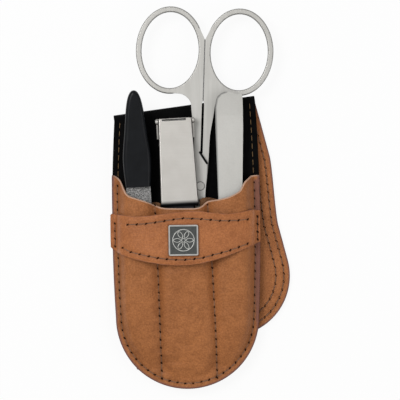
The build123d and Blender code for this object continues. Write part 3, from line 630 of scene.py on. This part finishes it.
def panel_point(x, y):
    """A point of the panel's face: the formed height, pulled in at its seams, creased, with a rolled edge."""
    here = Vector((x, y, 0))
    wrinkle = 0.16 * noise.noise(Vector((x / 0.0065, y / 0.0032, 3.1)))
    wrinkle += 0.05 * noise.noise(Vector((x / 0.0022, y / 0.0016, 8.4)))
    crease = max(0.0, noise.noise(Vector((x / 0.011, y / 0.0017, 5.7))) - 0.22) * 0.6 * ease(-y, 0.026, 0.040)
    sewn = min(1.0, outline_near(here) + 2.5 / mm * edge_groove(here))
    level = formed(x, y) + (wrinkle - crease) * mm * (1 - 0.8 * sewn)
    level -= edge_groove(here) + row_groove(here) + hole_dent(here) + 0.35 * mm * outline_near(here) ** 2
    return Vector((x, y, max(level, 5.2 * mm)))


def panel_edge_paint_and_shade(place):
    """How much edge brown shows: real edge paint in a thin line all round, and painted shade in a wider band down the
    right side.
    """
    band = ease(place.x, 0.0256, 0.0268) * ease(24 * mm - place.y, 0, 2 * mm) * ease(place.y, -0.040, -0.030)
    return max(outline_near(flat(place)), 0.8 * band)


def panel_shade(place):
    """Painted shade at the sewn rows, in the valleys beside them and down the right pocket's flank, which faces away
    from the light.
    """
    here = flat(place)
    flank = ease(place.x, 0.0205, 0.0235) * (1 - ease(place.x, 0.0245, 0.0255)) * ease(place.y, -0.046, -0.030)
    sewn = 0.9 / mm * (edge_groove(here) + row_groove(here)) + 1.3 / mm * hole_dent(here)
    return min(1.0, sewn + valley_shade(here) + 0.16 * flank)


def panel_mouth(place):
    """Raw, unpainted leather along the mouth."""
    return ease(place.y, 0.008, 0.010) * (1 - outline_near(flat(place)))


columns, straight_rows = 150, 114
panel_spread = [j / columns for j in range(columns + 1)]
cap_centre = Vector((0, round_centre, 4.5)) * mm
panel_cap = round_end(outline_surface, cap_centre, Vector((1, 0, 0)), Vector((0, -1, 0)), panel_spread, 64)
panel_rows = [[panel_point(p.x, p.y) for p in row] for row in panel_cap]
for i in range(straight_rows + 1):
    base = round_centre + (mouth_level - round_centre) * i / straight_rows
    reach = half_width(base * mm, -1), half_width(base * mm, 1)
    pull = ease(base, -4, mouth_level)
    row = []
    for share in panel_spread:
        u = 2 * share - 1
        x = u * (reach[0] if u < 0 else reach[1])
        top = np.interp(x / mm, mouth_x, mouth_y)
        row.append(panel_point(x, (base + pull * (top - mouth_level)) * mm))
    panel_rows.append(row)

mouth_edge = Finish("mouth_cut_edge", roughness=0.8, shine=0.25)
mouth_fibres = mouth_edge.patches(0.0004, detail=6, rough=0.75)
painted_fibres = mouth_edge.tint(mouth_fibres, (0.120, 0.062, 0.046), (0.235, 0.130, 0.100))
raw_fibres = mouth_edge.tint(mouth_fibres, (0.400, 0.215, 0.135), (0.680, 0.450, 0.330))
mouth_edge.shades(mouth_edge.mark("mouth"), painted_fibres, raw_fibres)
mouth_edge.relief(mouth_fibres, 0.0001, 0.8)
rough_side = Finish("rough_flesh_side", roughness=0.95, shine=0.1)
nap = rough_side.patches(0.0006, detail=6, rough=0.75)
rough_side.shades(nap, (0.150, 0.066, 0.030), (0.360, 0.185, 0.095))
rough_side.relief(nap, 0.0002)
pocket_panel = sheet(
    "pocket_panel_leather",
    panel_rows,
    leather,
    (hide_finish, rough_side, mouth_edge),
    inside=0.0,
    marks={"edge": panel_edge_paint_and_shade, "crease": panel_shade, "mouth": panel_mouth},
    lip=(0.6 * mm, 0.35 * mm),
)
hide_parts("pocket_panel")
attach(pocket_panel, "case")

# ---------------------------------------------------------------- webs between the pockets
# Where the panel is sewn down between two pockets its rough inner side turns up as a small web of
# suede in the V of the mouth, left of the clipper and right of the scissors.
web_foot, web_steps, web_columns = 11.4, 12, 24
webs = (  # the (x, z) points that the web runs through, and its heights y there
    ("left_web", ((-14.0, 6.2), (-12.6, 6.15), (-11.2, 6.3), (-9.9, 7.2)), (13.9, 14.4, 14.4, 13.8)),
    ("right_web", ((5.3, 9.75), (6.8, 9.3), (9.4, 7.9), (11.9, 6.3)), (15.1, 15.8, 15.9, 15.3)),
)
for name, section, tops in webs:
    web_rows = []
    for i in range(web_steps + 1):
        row = []
        for j in range(web_columns + 1):
            spot = 3 * j / web_columns
            x, z, top = (float(np.interp(spot, range(4), line)) for line in (*zip(*section), tops))
            y = web_foot + (top - web_foot) * i / web_steps
            z += 0.18 * noise.noise(Vector((x / 1.1, y / 0.9, 4.0)))
            row.append(Vector((x, y, z)) * mm)
        web_rows.append(row)
    finishes = rough_side, rough_side, rough_side
    web = sheet(name, web_rows, 0.6 * mm, finishes, rim=0.12 * mm, lip=(0.4 * mm, 0.25 * mm))
    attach(web, "case")

# ---------------------------------------------------------------- strap
# A band of the same hide across the pockets, its ends sewn flat into the side seams and its long
# edges stitched through a thin inner leather. It is smoother and a little more orange.
strap_finish = leather_finish("strap_leather_finish", (0.530, 0.194, 0.066), (0.300, 0.099, 0.032), gloss=0.46)
strap_top = (
    (-29.5, 9.6), (-28.8, 10.5), (-24.5, 9.9), (-19.9, 9.2), (-13, 9.6), (-5.6, 10.5), (0, 11.0), (5.2, 11.0),
    (11, 10.2), (16.0, 9.8), (21, 10.4), (25.8, 11.4), (28.8, 11.0),
)
strap_foot = (
    (-29.5, -2.0), (-28.8, -2.9), (-26.5, -4.6), (-23.5, -5.9), (-19.5, -7.2), (-15.2, -8.2), (-9.5, -9.2),
    (-3.9, -9.6), (1, -9.5), (5.9, -8.9), (11, -7.7), (15.8, -6.2), (19.5, -4.8), (23.2, -3.3), (26, -2.1),
    (28.8, -1.0),
)
strap_section = (  # (x, z) from its right end to its flat middle
    (28.6, 7.1), (27.6, 7.2), (27.0, 7.5), (26.7, 8.4), (26.5, 10.2), (25.9, 12.2), (24.6, 13.9), (22.4, 15.3),
    (19.0, 16.4), (15.0, 17.3), (11.0, 17.85), (8.0, 18.0), (4.0, 18.0),
)
top_row = (  # (x, y) of the upper and the lower stitch row
    (-22.4, 6.2), (-17.2, 6.4), (-12.1, 6.9), (-4.8, 8.0), (-1.2, 8.4), (5.7, 8.0), (13.0, 7.3), (18, 7.2),
    (23.6, 7.6),
)
foot_row = (
    (-24.4, -2.6), (-21.8, -4.1), (-15.2, -5.8), (-9.5, -6.9), (-4.6, -7.4), (-0.8, -7.5), (6.2, -6.8),
    (9.6, -5.9), (16.5, -4.2), (19.7, -3.1), (23.4, -1.7),
)
strap_pitch = 3.5 * mm
end_holes_x, end_pitch = 27.5, 2.95


def through(points, count):
    """A smooth line of count steps through some points."""
    line = []
    for i in range(len(points) - 1):
        p0, p1, p2 = points[max(i - 1, 0)], points[i], points[i + 1]
        p3 = points[min(i + 2, len(points) - 1)]
        for k in range(16):
            t = k / 16
            bend = (2 * p0 - 5 * p1 + 4 * p2 - p3) * t * t + (3 * p1 - p0 - 3 * p2 + p3) * t**3
            line.append(0.5 * ((2 * p1) + (p2 - p0) * t + bend))
    line.append(points[-1])
    return evenly(line, count)


half_section = [Vector((x, 0, z)) * mm for x, z in strap_section]
whole_section = [Vector((-p.x, 0, p.z)) for p in half_section] + list(reversed(half_section))
whole_section[0].x -= 0.7 * mm  # the left end stands out a little from the pouch
strap_columns = through(whole_section, 190)
sewn_rows = [[Vector((x, y, 0)) * mm for x, y in row] for row in (top_row, foot_row)]
strap_seams = [spaced(through(row, 120), strap_pitch) for row in sewn_rows]
strap_line = near(through(sewn_rows[0], 200) + through(sewn_rows[1], 200), 0.16 * mm, 0.9 * mm)
strap_dent = near(strap_seams[0] + strap_seams[1], 0.22 * mm, 0.5 * mm)
end_holes = [
    Vector((side * end_holes_x, y, 0)) * mm
    for side, low, high in ((-1, -2.2, 9.6), (1, -0.2, 10.0))
    for y in np.arange(low, high, end_pitch)
]
end_dent = near(end_holes, 0.2 * mm, 0.5 * mm)
plate_low, plate_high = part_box("badge_frame")


def plate_shadow_line(place):
    """1 in a painted shadow line round the metal plate on the strap."""
    beyond = max(plate_low[0] - place.x, place.x - plate_high[0], plate_low[1] - place.y, place.y - plate_high[1])
    return exp(-((beyond / (0.4 * mm)) ** 2))


def strap_edges(x):
    """Lower and upper edge of the strap at x."""
    return tuple(float(along_shape(shape, x / mm)) * mm for shape in (strap_foot, strap_top))


def strap_point(column, share):
    """A point of the strap's face, a little padded between its stitch rows and puckered at its ends."""
    low, high = strap_edges(column.x)
    y = low + (high - low) * share
    here = Vector((column.x, y, 0))
    side = abs(column.x) / mm
    pucker = ease(side, 18, 23) * (1 - ease(side, 26.2, 27.2)) * sin(y / (2.3 * mm) + column.x * 300) * 0.14 * mm
    edge = min(share, 1 - share) * (high - low)
    roll = 0.35 * mm * exp(-((edge / (0.9 * mm)) ** 2))
    wave = 0.07 * mm * noise.noise(Vector((column.x / 0.005, y / 0.004, 1.7)))
    drop = (strap_line(here) + strap_dent(here)) * (1 - ease(side, 25.0, 26.5)) + end_dent(here) + roll
    return Vector((column.x, y, column.z + pucker + wave - drop))


strap_shares = [0.5 - 0.5 * cos(pi * j / 56) for j in range(57)]  # closer together towards both edges
strap_rows = [[strap_point(column, share) for column in strap_columns] for share in strap_shares]
strap_outline = near([flat(p) for p in strap_rows[0] + strap_rows[-1]], 1.0, 0.45 * mm)


def strap_shade(place):
    """Painted shade at the sewn rows, at the needle holes and round the plate."""
    here = flat(place)
    sewn = 0.9 / mm * strap_line(here) + 1.6 / mm * (strap_dent(here) + end_dent(here))
    return min(1.0, sewn + plate_shadow_line(place))


strap = sheet(
    "strap_outer",
    strap_rows,
    leather,
    (strap_finish, rough_side, painted_edge),
    inside=0.0,
    rim=0.3 * mm,
    # Along the strap's edges the edge mark gives edge brown: partly edge paint, partly painted shade where the strap
    # meets the panel.
    marks={"edge": lambda p: 0.5 * strap_outline(flat(p)), "crease": strap_shade},
)
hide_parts("strap_leather")
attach(strap, "case")
inset, inner_thickness, inner_steps = 0.4 * mm, 0.4 * mm, 12
free_columns = 26  # at each end, where the strap is sewn flat without its inner leather
inner_rows = []
for i in range(inner_steps + 1):
    row = []
    for column in strap_columns[free_columns:-free_columns]:
        low, high = strap_edges(column.x)
        y = low + inset + (high - low - 2 * inset) * i / inner_steps
        row.append(Vector((column.x, y, column.z - leather - 0.02 * mm)))
    inner_rows.append(row)
finishes = rough_side, rough_side, painted_edge
strap_inner = sheet("strap_inner", inner_rows, inner_thickness, finishes, inside=0.0, rim=0.08 * mm)
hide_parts("strap_lining")
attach(strap_inner, "case")

# ---------------------------------------------------------------- stitching
# Waxed brown thread in a saddle stitch: the edge seam through all the layers, two rows that divide the
# pockets, the strap's rows and two rows round the flap. Every stitch dives into a slanted needle hole.
def thread(name, dark, light):
    """Twisted waxed thread."""
    finish = Finish(name, roughness=0.6, shine=0.3)
    twist = finish.patches(0.0003, detail=2)
    finish.shades(twist, dark, light)
    finish.relief(twist, 0.00008, 0.8)
    return finish


thread_brown = thread("brown_thread", (0.110, 0.055, 0.032), (0.300, 0.165, 0.100))
thread_tan = thread("tan_thread", (0.120, 0.068, 0.026), (0.290, 0.180, 0.080))
# Painted shade: each needle hole is a small dark dish laid on the surface, coloured as the shade inside the hole.
hole_shade = Finish("needle_hole_shade", roughness=0.9, shine=0.1)
hole_shade.shades(hole_shade.cloud(0.0004), (0.014, 0.005, 0.003), (0.040, 0.015, 0.007))
jitter = random.Random(11)
sunk = 0.2 * mm  # how deep the thread lies in the hide's back
hole_slant = radians(38)
stitch_profile = (  # share of the way, height and width in radii
    (0.08, -0.6, 0.7), (0.17, 0.6, 1.0), (0.33, 1.1, 1.0), (0.5, 1.3, 1.0), (0.67, 1.1, 1.0), (0.83, 0.6, 1.0),
    (0.92, -0.6, 0.7),
)


def tube(points, faces, line, sides, closed=False):
    """Add a round tube to a mesh in the making; line gives (centre, side, up), scaled, for each ring."""
    first, count = len(points), len(line)
    for centre, side, up in line:
        points += [centre + side * cos(2 * pi * k / sides) + up * sin(2 * pi * k / sides) for k in range(sides)]
    for i in range(count if closed else count - 1):
        here, ahead = first + i * sides, first + (i + 1) % count * sides
        for k in range(sides):
            faces.append((here + k, ahead + k, ahead + (k + 1) % sides, here + (k + 1) % sides))
    if not closed:
        faces.append(tuple(first + k for k in range(sides)))
        faces.append(tuple(first + count * sides - 1 - k for k in range(sides)))


def sew(name, holes, body, finish, radius=0.19 * mm, hole_size=(0.60, 0.31), bowl=0.23 * mm):
    """A row of stitches and the needle holes between them; holes are (place, way out) pairs."""
    points, faces = [], []
    for (start, up_start), (end, up_end) in zip(holes, holes[1:]):
        along = end - start
        if along.length > 6 * mm:
            continue
        rings = []
        for share, height, width in stitch_profile:
            up = up_start.lerp(up_end, share).normalized()
            side = along.cross(up).normalized()
            centre = start.lerp(end, share) + up * height * radius
            rings.append((centre, side * radius * width, up * radius * width))
        tube(points, faces, rings, 8)
    thread_piece = show(name, points, faces, finish)
    points, faces = [], []
    # The needle holes: small dark dishes of painted shade on the surface.
    for i, (place, up) in enumerate(holes):
        ahead = holes[min(i + 1, len(holes) - 1)][0] - holes[max(i - 1, 0)][0]
        along = (ahead - up * ahead.dot(up)).normalized()
        side = up.cross(along)
        lean = hole_slant + jitter.uniform(-0.12, 0.12)
        long_way, short_way = along * cos(lean) + side * sin(lean), side * cos(lean) - along * sin(lean)
        first = len(points)
        for k in range(10):
            turn = pi * k / 5
            reach = long_way * cos(turn) * hole_size[0] + short_way * sin(turn) * hole_size[1]
            points.append(place + reach * mm + up * bowl)
        points += [place + up * 0.03 * mm, place - up * 0.3 * mm]
        for k in range(10):
            a, b = first + k, first + (k + 1) % 10
            faces += [(a, b, first + 10), (b, a, first + 11)]
    hole_piece = show(name + "_holes", points, faces, hole_shade)
    for piece in (thread_piece, hole_piece):
        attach(piece, body)


def land(surface, places):
    """Places dropped onto a piece from above, with the way out of its surface there."""
    found = []
    for place in places:
        hit, up, _, _ = surface.ray_cast(Vector((place.x, place.y, 40 * mm)), Vector((0, 0, -1)))
        if hit:
            found.append((hit, (up + Vector((0, 0, 1))).normalized()))
    return found


def at_level(places, level, up):
    """Places at a fixed height."""
    return [(Vector((p.x, p.y, level)), Vector((0, 0, up))) for p in places]


panel_face, strap_face = surface_of(pocket_panel), surface_of(strap)
behind = back_level - leather / 2 + sunk
sides = (("left", -1), ("right", 1))
sew("edge_seam", land(panel_face, front_holes), "case", thread_brown)
for (side_name, _), holes in zip(sides, divider_holes):
    sew(side_name + "_divider_seam", land(panel_face, holes), "case", thread_brown)
    sew(side_name + "_divider_seam_behind", at_level(holes, behind, -1), "case", thread_brown)
fine = {"radius": 0.14 * mm, "hole_size": (0.25, 0.14)}
for side_name, side in sides:
    upper = [p for p in body_holes if p.y > 23.0 * mm and p.x * side > 0]
    sew(side_name + "_lining_seam", at_level(upper, 4.6 * mm, 1), "case", thread_tan, **fine)
sew("edge_seam_behind", at_level(body_holes, behind, -1), "case", thread_brown)
for row_name, holes in zip(("upper", "lower"), strap_seams):
    sew("strap_" + row_name + "_seam", land(strap_face, holes), "case", thread_brown)
for side_name, side in sides:
    ends = [p for p in end_holes if p.x * side > 0]
    sew(side_name + "_strap_end_seam", land(strap_face, ends), "case", thread_brown)
fine["radius"] = 0.12 * mm
for number, seam in enumerate(flap_seams, 1):
    holes = [p for p in spaced(seam, 3.2 * mm) if (p - fold_axis).dot(fold_down) > 3 * mm]
    sew(f"flap_seam_{number}", at_level(holes, flap_level + leather / 2 - sunk, 1), "flap", thread_brown)
    sew(f"flap_seam_{number}_behind", at_level(holes, 0.27 * mm, -1), "flap", thread_tan, **fine)

# ---------------------------------------------------------------- metal plate on the strap
# A small square plate with a polished rim and a dark lacquered field, held by four prongs bent over a
# clinch plate behind the strap. A plain rosette of raised metal lines fills its field.
polished = Finish("polished_steel", roughness=0.16, metallic=1.0)
haze = polished.patches(0.002, detail=4)
polished.shades(haze, (0.70, 0.69, 0.67), (0.80, 0.79, 0.77))
polished.gloss(polished.between(haze, 0, 1, 0.12, 0.24))
lacquer = Finish("dark_lacquer", roughness=0.38, shine=0.5)
flake = lacquer.patches(0.0008, detail=4)
lacquer.shades(flake, (0.040, 0.045, 0.043), (0.064, 0.069, 0.066))
lacquer.relief(lacquer.cells(0.0004), 0.00003, 0.4)
clinch = Finish("plain_steel_sheet", roughness=0.4, metallic=1.0)
clinch.shades(clinch.cloud(0.003), (0.50, 0.49, 0.47), (0.60, 0.59, 0.57))


def refinish(finish, *names):
    """CAD nodes keep their shape and take a better finish."""
    for name in names:
        for place in nodes[name].material_slots:
            place.material = finish.material


refinish(polished, "badge_frame")
refinish(lacquer, "badge_field")
refinish(clinch, "badge_backing")
badge_centre = (Vector(plate_low) + Vector(plate_high)) / 2
badge_centre.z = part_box("badge_field")[1][2]
rosette_points, rosette_faces = [], []


def raised_oval(centre, way, length, width, radius, count):
    """Add an oval of raised wire to the rosette; all sizes are in millimetres."""
    across, line = Vector((-way.y, way.x, 0)), []
    for i in range(count):
        turn = 2 * pi * i / count
        line.append(centre + way * length * mm * cos(turn) + across * width * mm * sin(turn))
    rings = []
    for i, place in enumerate(line):
        along = (line[(i + 1) % count] - line[i - 1]).normalized()
        rings.append((place, Vector((along.y, -along.x, 0)) * radius * mm, Vector((0, 0, 0.8 * radius * mm))))
    tube(rosette_points, rosette_faces, rings, 6, closed=True)


raised_oval(badge_centre, Vector((1, 0, 0)), 4.1, 4.1, 0.17, 64)
raised_oval(badge_centre, Vector((1, 0, 0)), 0.7, 0.7, 0.15, 64)
petals = 6
for petal in range(petals):
    outward = Vector((cos(2 * pi * petal / petals), sin(2 * pi * petal / petals), 0))
    raised_oval(badge_centre + outward * 2.4 * mm, outward, 1.35, 0.72, 0.14, 28)
raised = Finish("plain_raised_metal", roughness=0.5, metallic=0.6)
raised.shades(raised.cloud(0.001), (0.56, 0.56, 0.53), (0.68, 0.68, 0.65))
rosette = show("plate_rosette", rosette_points, rosette_faces, raised)
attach(rosette, "case")

# ---------------------------------------------------------------- nail scissors
# Two forged and ground halves of stainless steel with oval finger rings, joined by a screw in a lap
# joint. They are satin brushed along their length, with softly polished edges.
# Painted shade on the steel's steep edges, where its own face tilts away from the light.
steel_flank_shade = (0.15, 0.15, 0.145)


def steel_face(finish, grain, share, cloud_size, dark, light, flank, flank_shade_colour=steel_flank_shade):
    """Steel colour from a share of its grain and the rest of a soft cloud, with painted shade on its steep edges."""
    cloudy = finish.patches(cloud_size, detail=3)
    shade = finish.sum(finish.part(grain, share), finish.part(cloudy, 1 - share))
    return finish.tint(finish.flank(*flank), finish.tint(shade, dark, light), flank_shade_colour)


satin = Finish("satin_steel", metallic=1.0)
brushed = satin.patches(0.0009, detail=5, stretch=(1, 0.05, 1), rough=0.6)
satin_colour = steel_face(satin, brushed, 0.5, 0.011, (0.500, 0.490, 0.465), (0.580, 0.570, 0.545), (0.30, 0.93))
satin.gloss(satin.between(brushed, 0, 1, 0.58, 0.52))
satin.relief(brushed, 0.000006, 0.4)
# Painted shade: black lines in the gap between the shanks, at the shoulder of the lap joint and in a ring round the
# screw head.
shank_joint = satin.stroke((0.00717, 0.05317), (0.00826, 0.07714), 0.00012, 0.00012)
shoulder = satin.stroke((0.00570, 0.03365), (0.00830, 0.02950), 0.00038, 0.00012)
screw_spot = (0.005695, 0.0207), (0.005705, 0.0207)
outer_disc, inner_disc = (satin.stroke(*screw_spot, radius, 0.0001) for radius in (0.00172, 0.00148))
screw_rim = satin.sum(outer_disc, inner_disc, "SUBTRACT")
groove_shade = satin.most(satin.most(shank_joint, shoulder), satin.part(screw_rim, 0.8))
satin.shades(groove_shade, satin_colour, (0.012, 0.012, 0.013))
screw_steel = Finish("turned_steel", roughness=0.25, metallic=1.0)
screw_steel.shades(screw_steel.cloud(0.001), (0.50, 0.49, 0.46), (0.62, 0.61, 0.58))
refinish(satin, "scissors_half_left", "scissors_half_right")
refinish(screw_steel, "scissors_screw")

# ---------------------------------------------------------------- nail clipper
# A slim folding clipper of bent stainless sheet: two sprung leaves riveted at the tail, a channel lever
# folded over them, a stirrup with side ears and a cross pin. All but the pin and the rivet are satin brushed.
lever_steel = Finish("brushed_sheet_steel", metallic=1.0)
lever_grain = lever_steel.patches(0.0008, detail=5, stretch=(0.06, 1, 1), rough=0.6)
# Painted shade on the lever's steep edges.
lever_dark, lever_light, lever_flank_shade = (0.575, 0.550, 0.515), (0.660, 0.637, 0.602), (0.17, 0.165, 0.155)
lever_colour = steel_face(lever_steel, lever_grain, 0.25, 0.009, lever_dark, lever_light, (0.30, 0.80), lever_flank_shade)
# Painted shade on the lever's rolled lower end and in the slot near its top.
rolled_end_shade = lever_steel.stroke((-0.0112, 0.01275), (0.0052, 0.01345), 0.0008, 0.0014)
slot_shade = lever_steel.stroke((-0.0085, 0.04613), (0.0002, 0.04651), 0.00026, 0.00010)
lever_steel.shades(lever_steel.most(rolled_end_shade, slot_shade), lever_colour, (0.034, 0.035, 0.040))
lever_steel.gloss(lever_steel.between(lever_grain, 0, 1, 0.42, 0.36))
lever_steel.relief(lever_grain, 0.00001, 0.4)
refinish(lever_steel, "clipper_lower_leaf", "clipper_upper_leaf", "clipper_lever", "clipper_stirrup")
refinish(screw_steel, "clipper_cross_pin", "clipper_tail_rivet")

# ---------------------------------------------------------------- tweezers
# Two flat spring-steel arms welded together at their round end and parted at their slanted tips, with
# a matt bead-blasted face and ground edges.
blasted = Finish("matt_blasted_steel", roughness=0.42, metallic=1.0)
blast = blasted.patches(0.0005, detail=4)
blast_colour = steel_face(blasted, blast, 0.4, 0.012, (0.535, 0.525, 0.497), (0.615, 0.605, 0.577), (0.25, 0.80))
# Painted shade: a dark line along the arms' left edge and round their top end.
edge_shade_path = (0.01235, 0.0150), (0.01185, 0.0509), (0.01255, 0.0545), (0.0141, 0.0561), (0.0161, 0.0568)
edge_shade = 0.0
for start, end in zip(edge_shade_path, edge_shade_path[1:]):
    edge_shade = blasted.most(edge_shade, blasted.stroke(start, end, 0.0001, 0.0006))
blasted.shades(blasted.part(edge_shade, 0.7), blast_colour, (0.12, 0.12, 0.118))
blasted.relief(blast, 0.00001, 0.4)
refinish(blasted, "tweezers_back_arm", "tweezers_front_arm")

# ---------------------------------------------------------------- nail file
# A thin steel blade with a grey abrasive coat that sparkles, held in a matt black moulded handle with
# a softly faceted face.
moulded = Finish("black_moulded_plastic", roughness=0.34, shine=0.18)
moulded.shades(moulded.patches(0.004, detail=4), (0.0035, 0.0042, 0.0055), (0.0065, 0.0075, 0.0095))
moulded.relief(moulded.cells(0.0003), 0.00002, 0.5)
refinish(moulded, "file_handle")
grit = Finish("abrasive_coat", roughness=0.55, metallic=0.15, shine=0.6)
grains = grit.between(grit.cells(0.00042), 0.05, 0.5)
speckle = grit.between(grit.cloud(0.0005, detail=3, rough=0.8), 0.42, 0.62)
grit.shades(speckle, (0.12, 0.12, 0.12), (0.72, 0.71, 0.70))
grit.relief(grit.sum(grains, speckle), 0.00016)
refinish(grit, "file_blade")
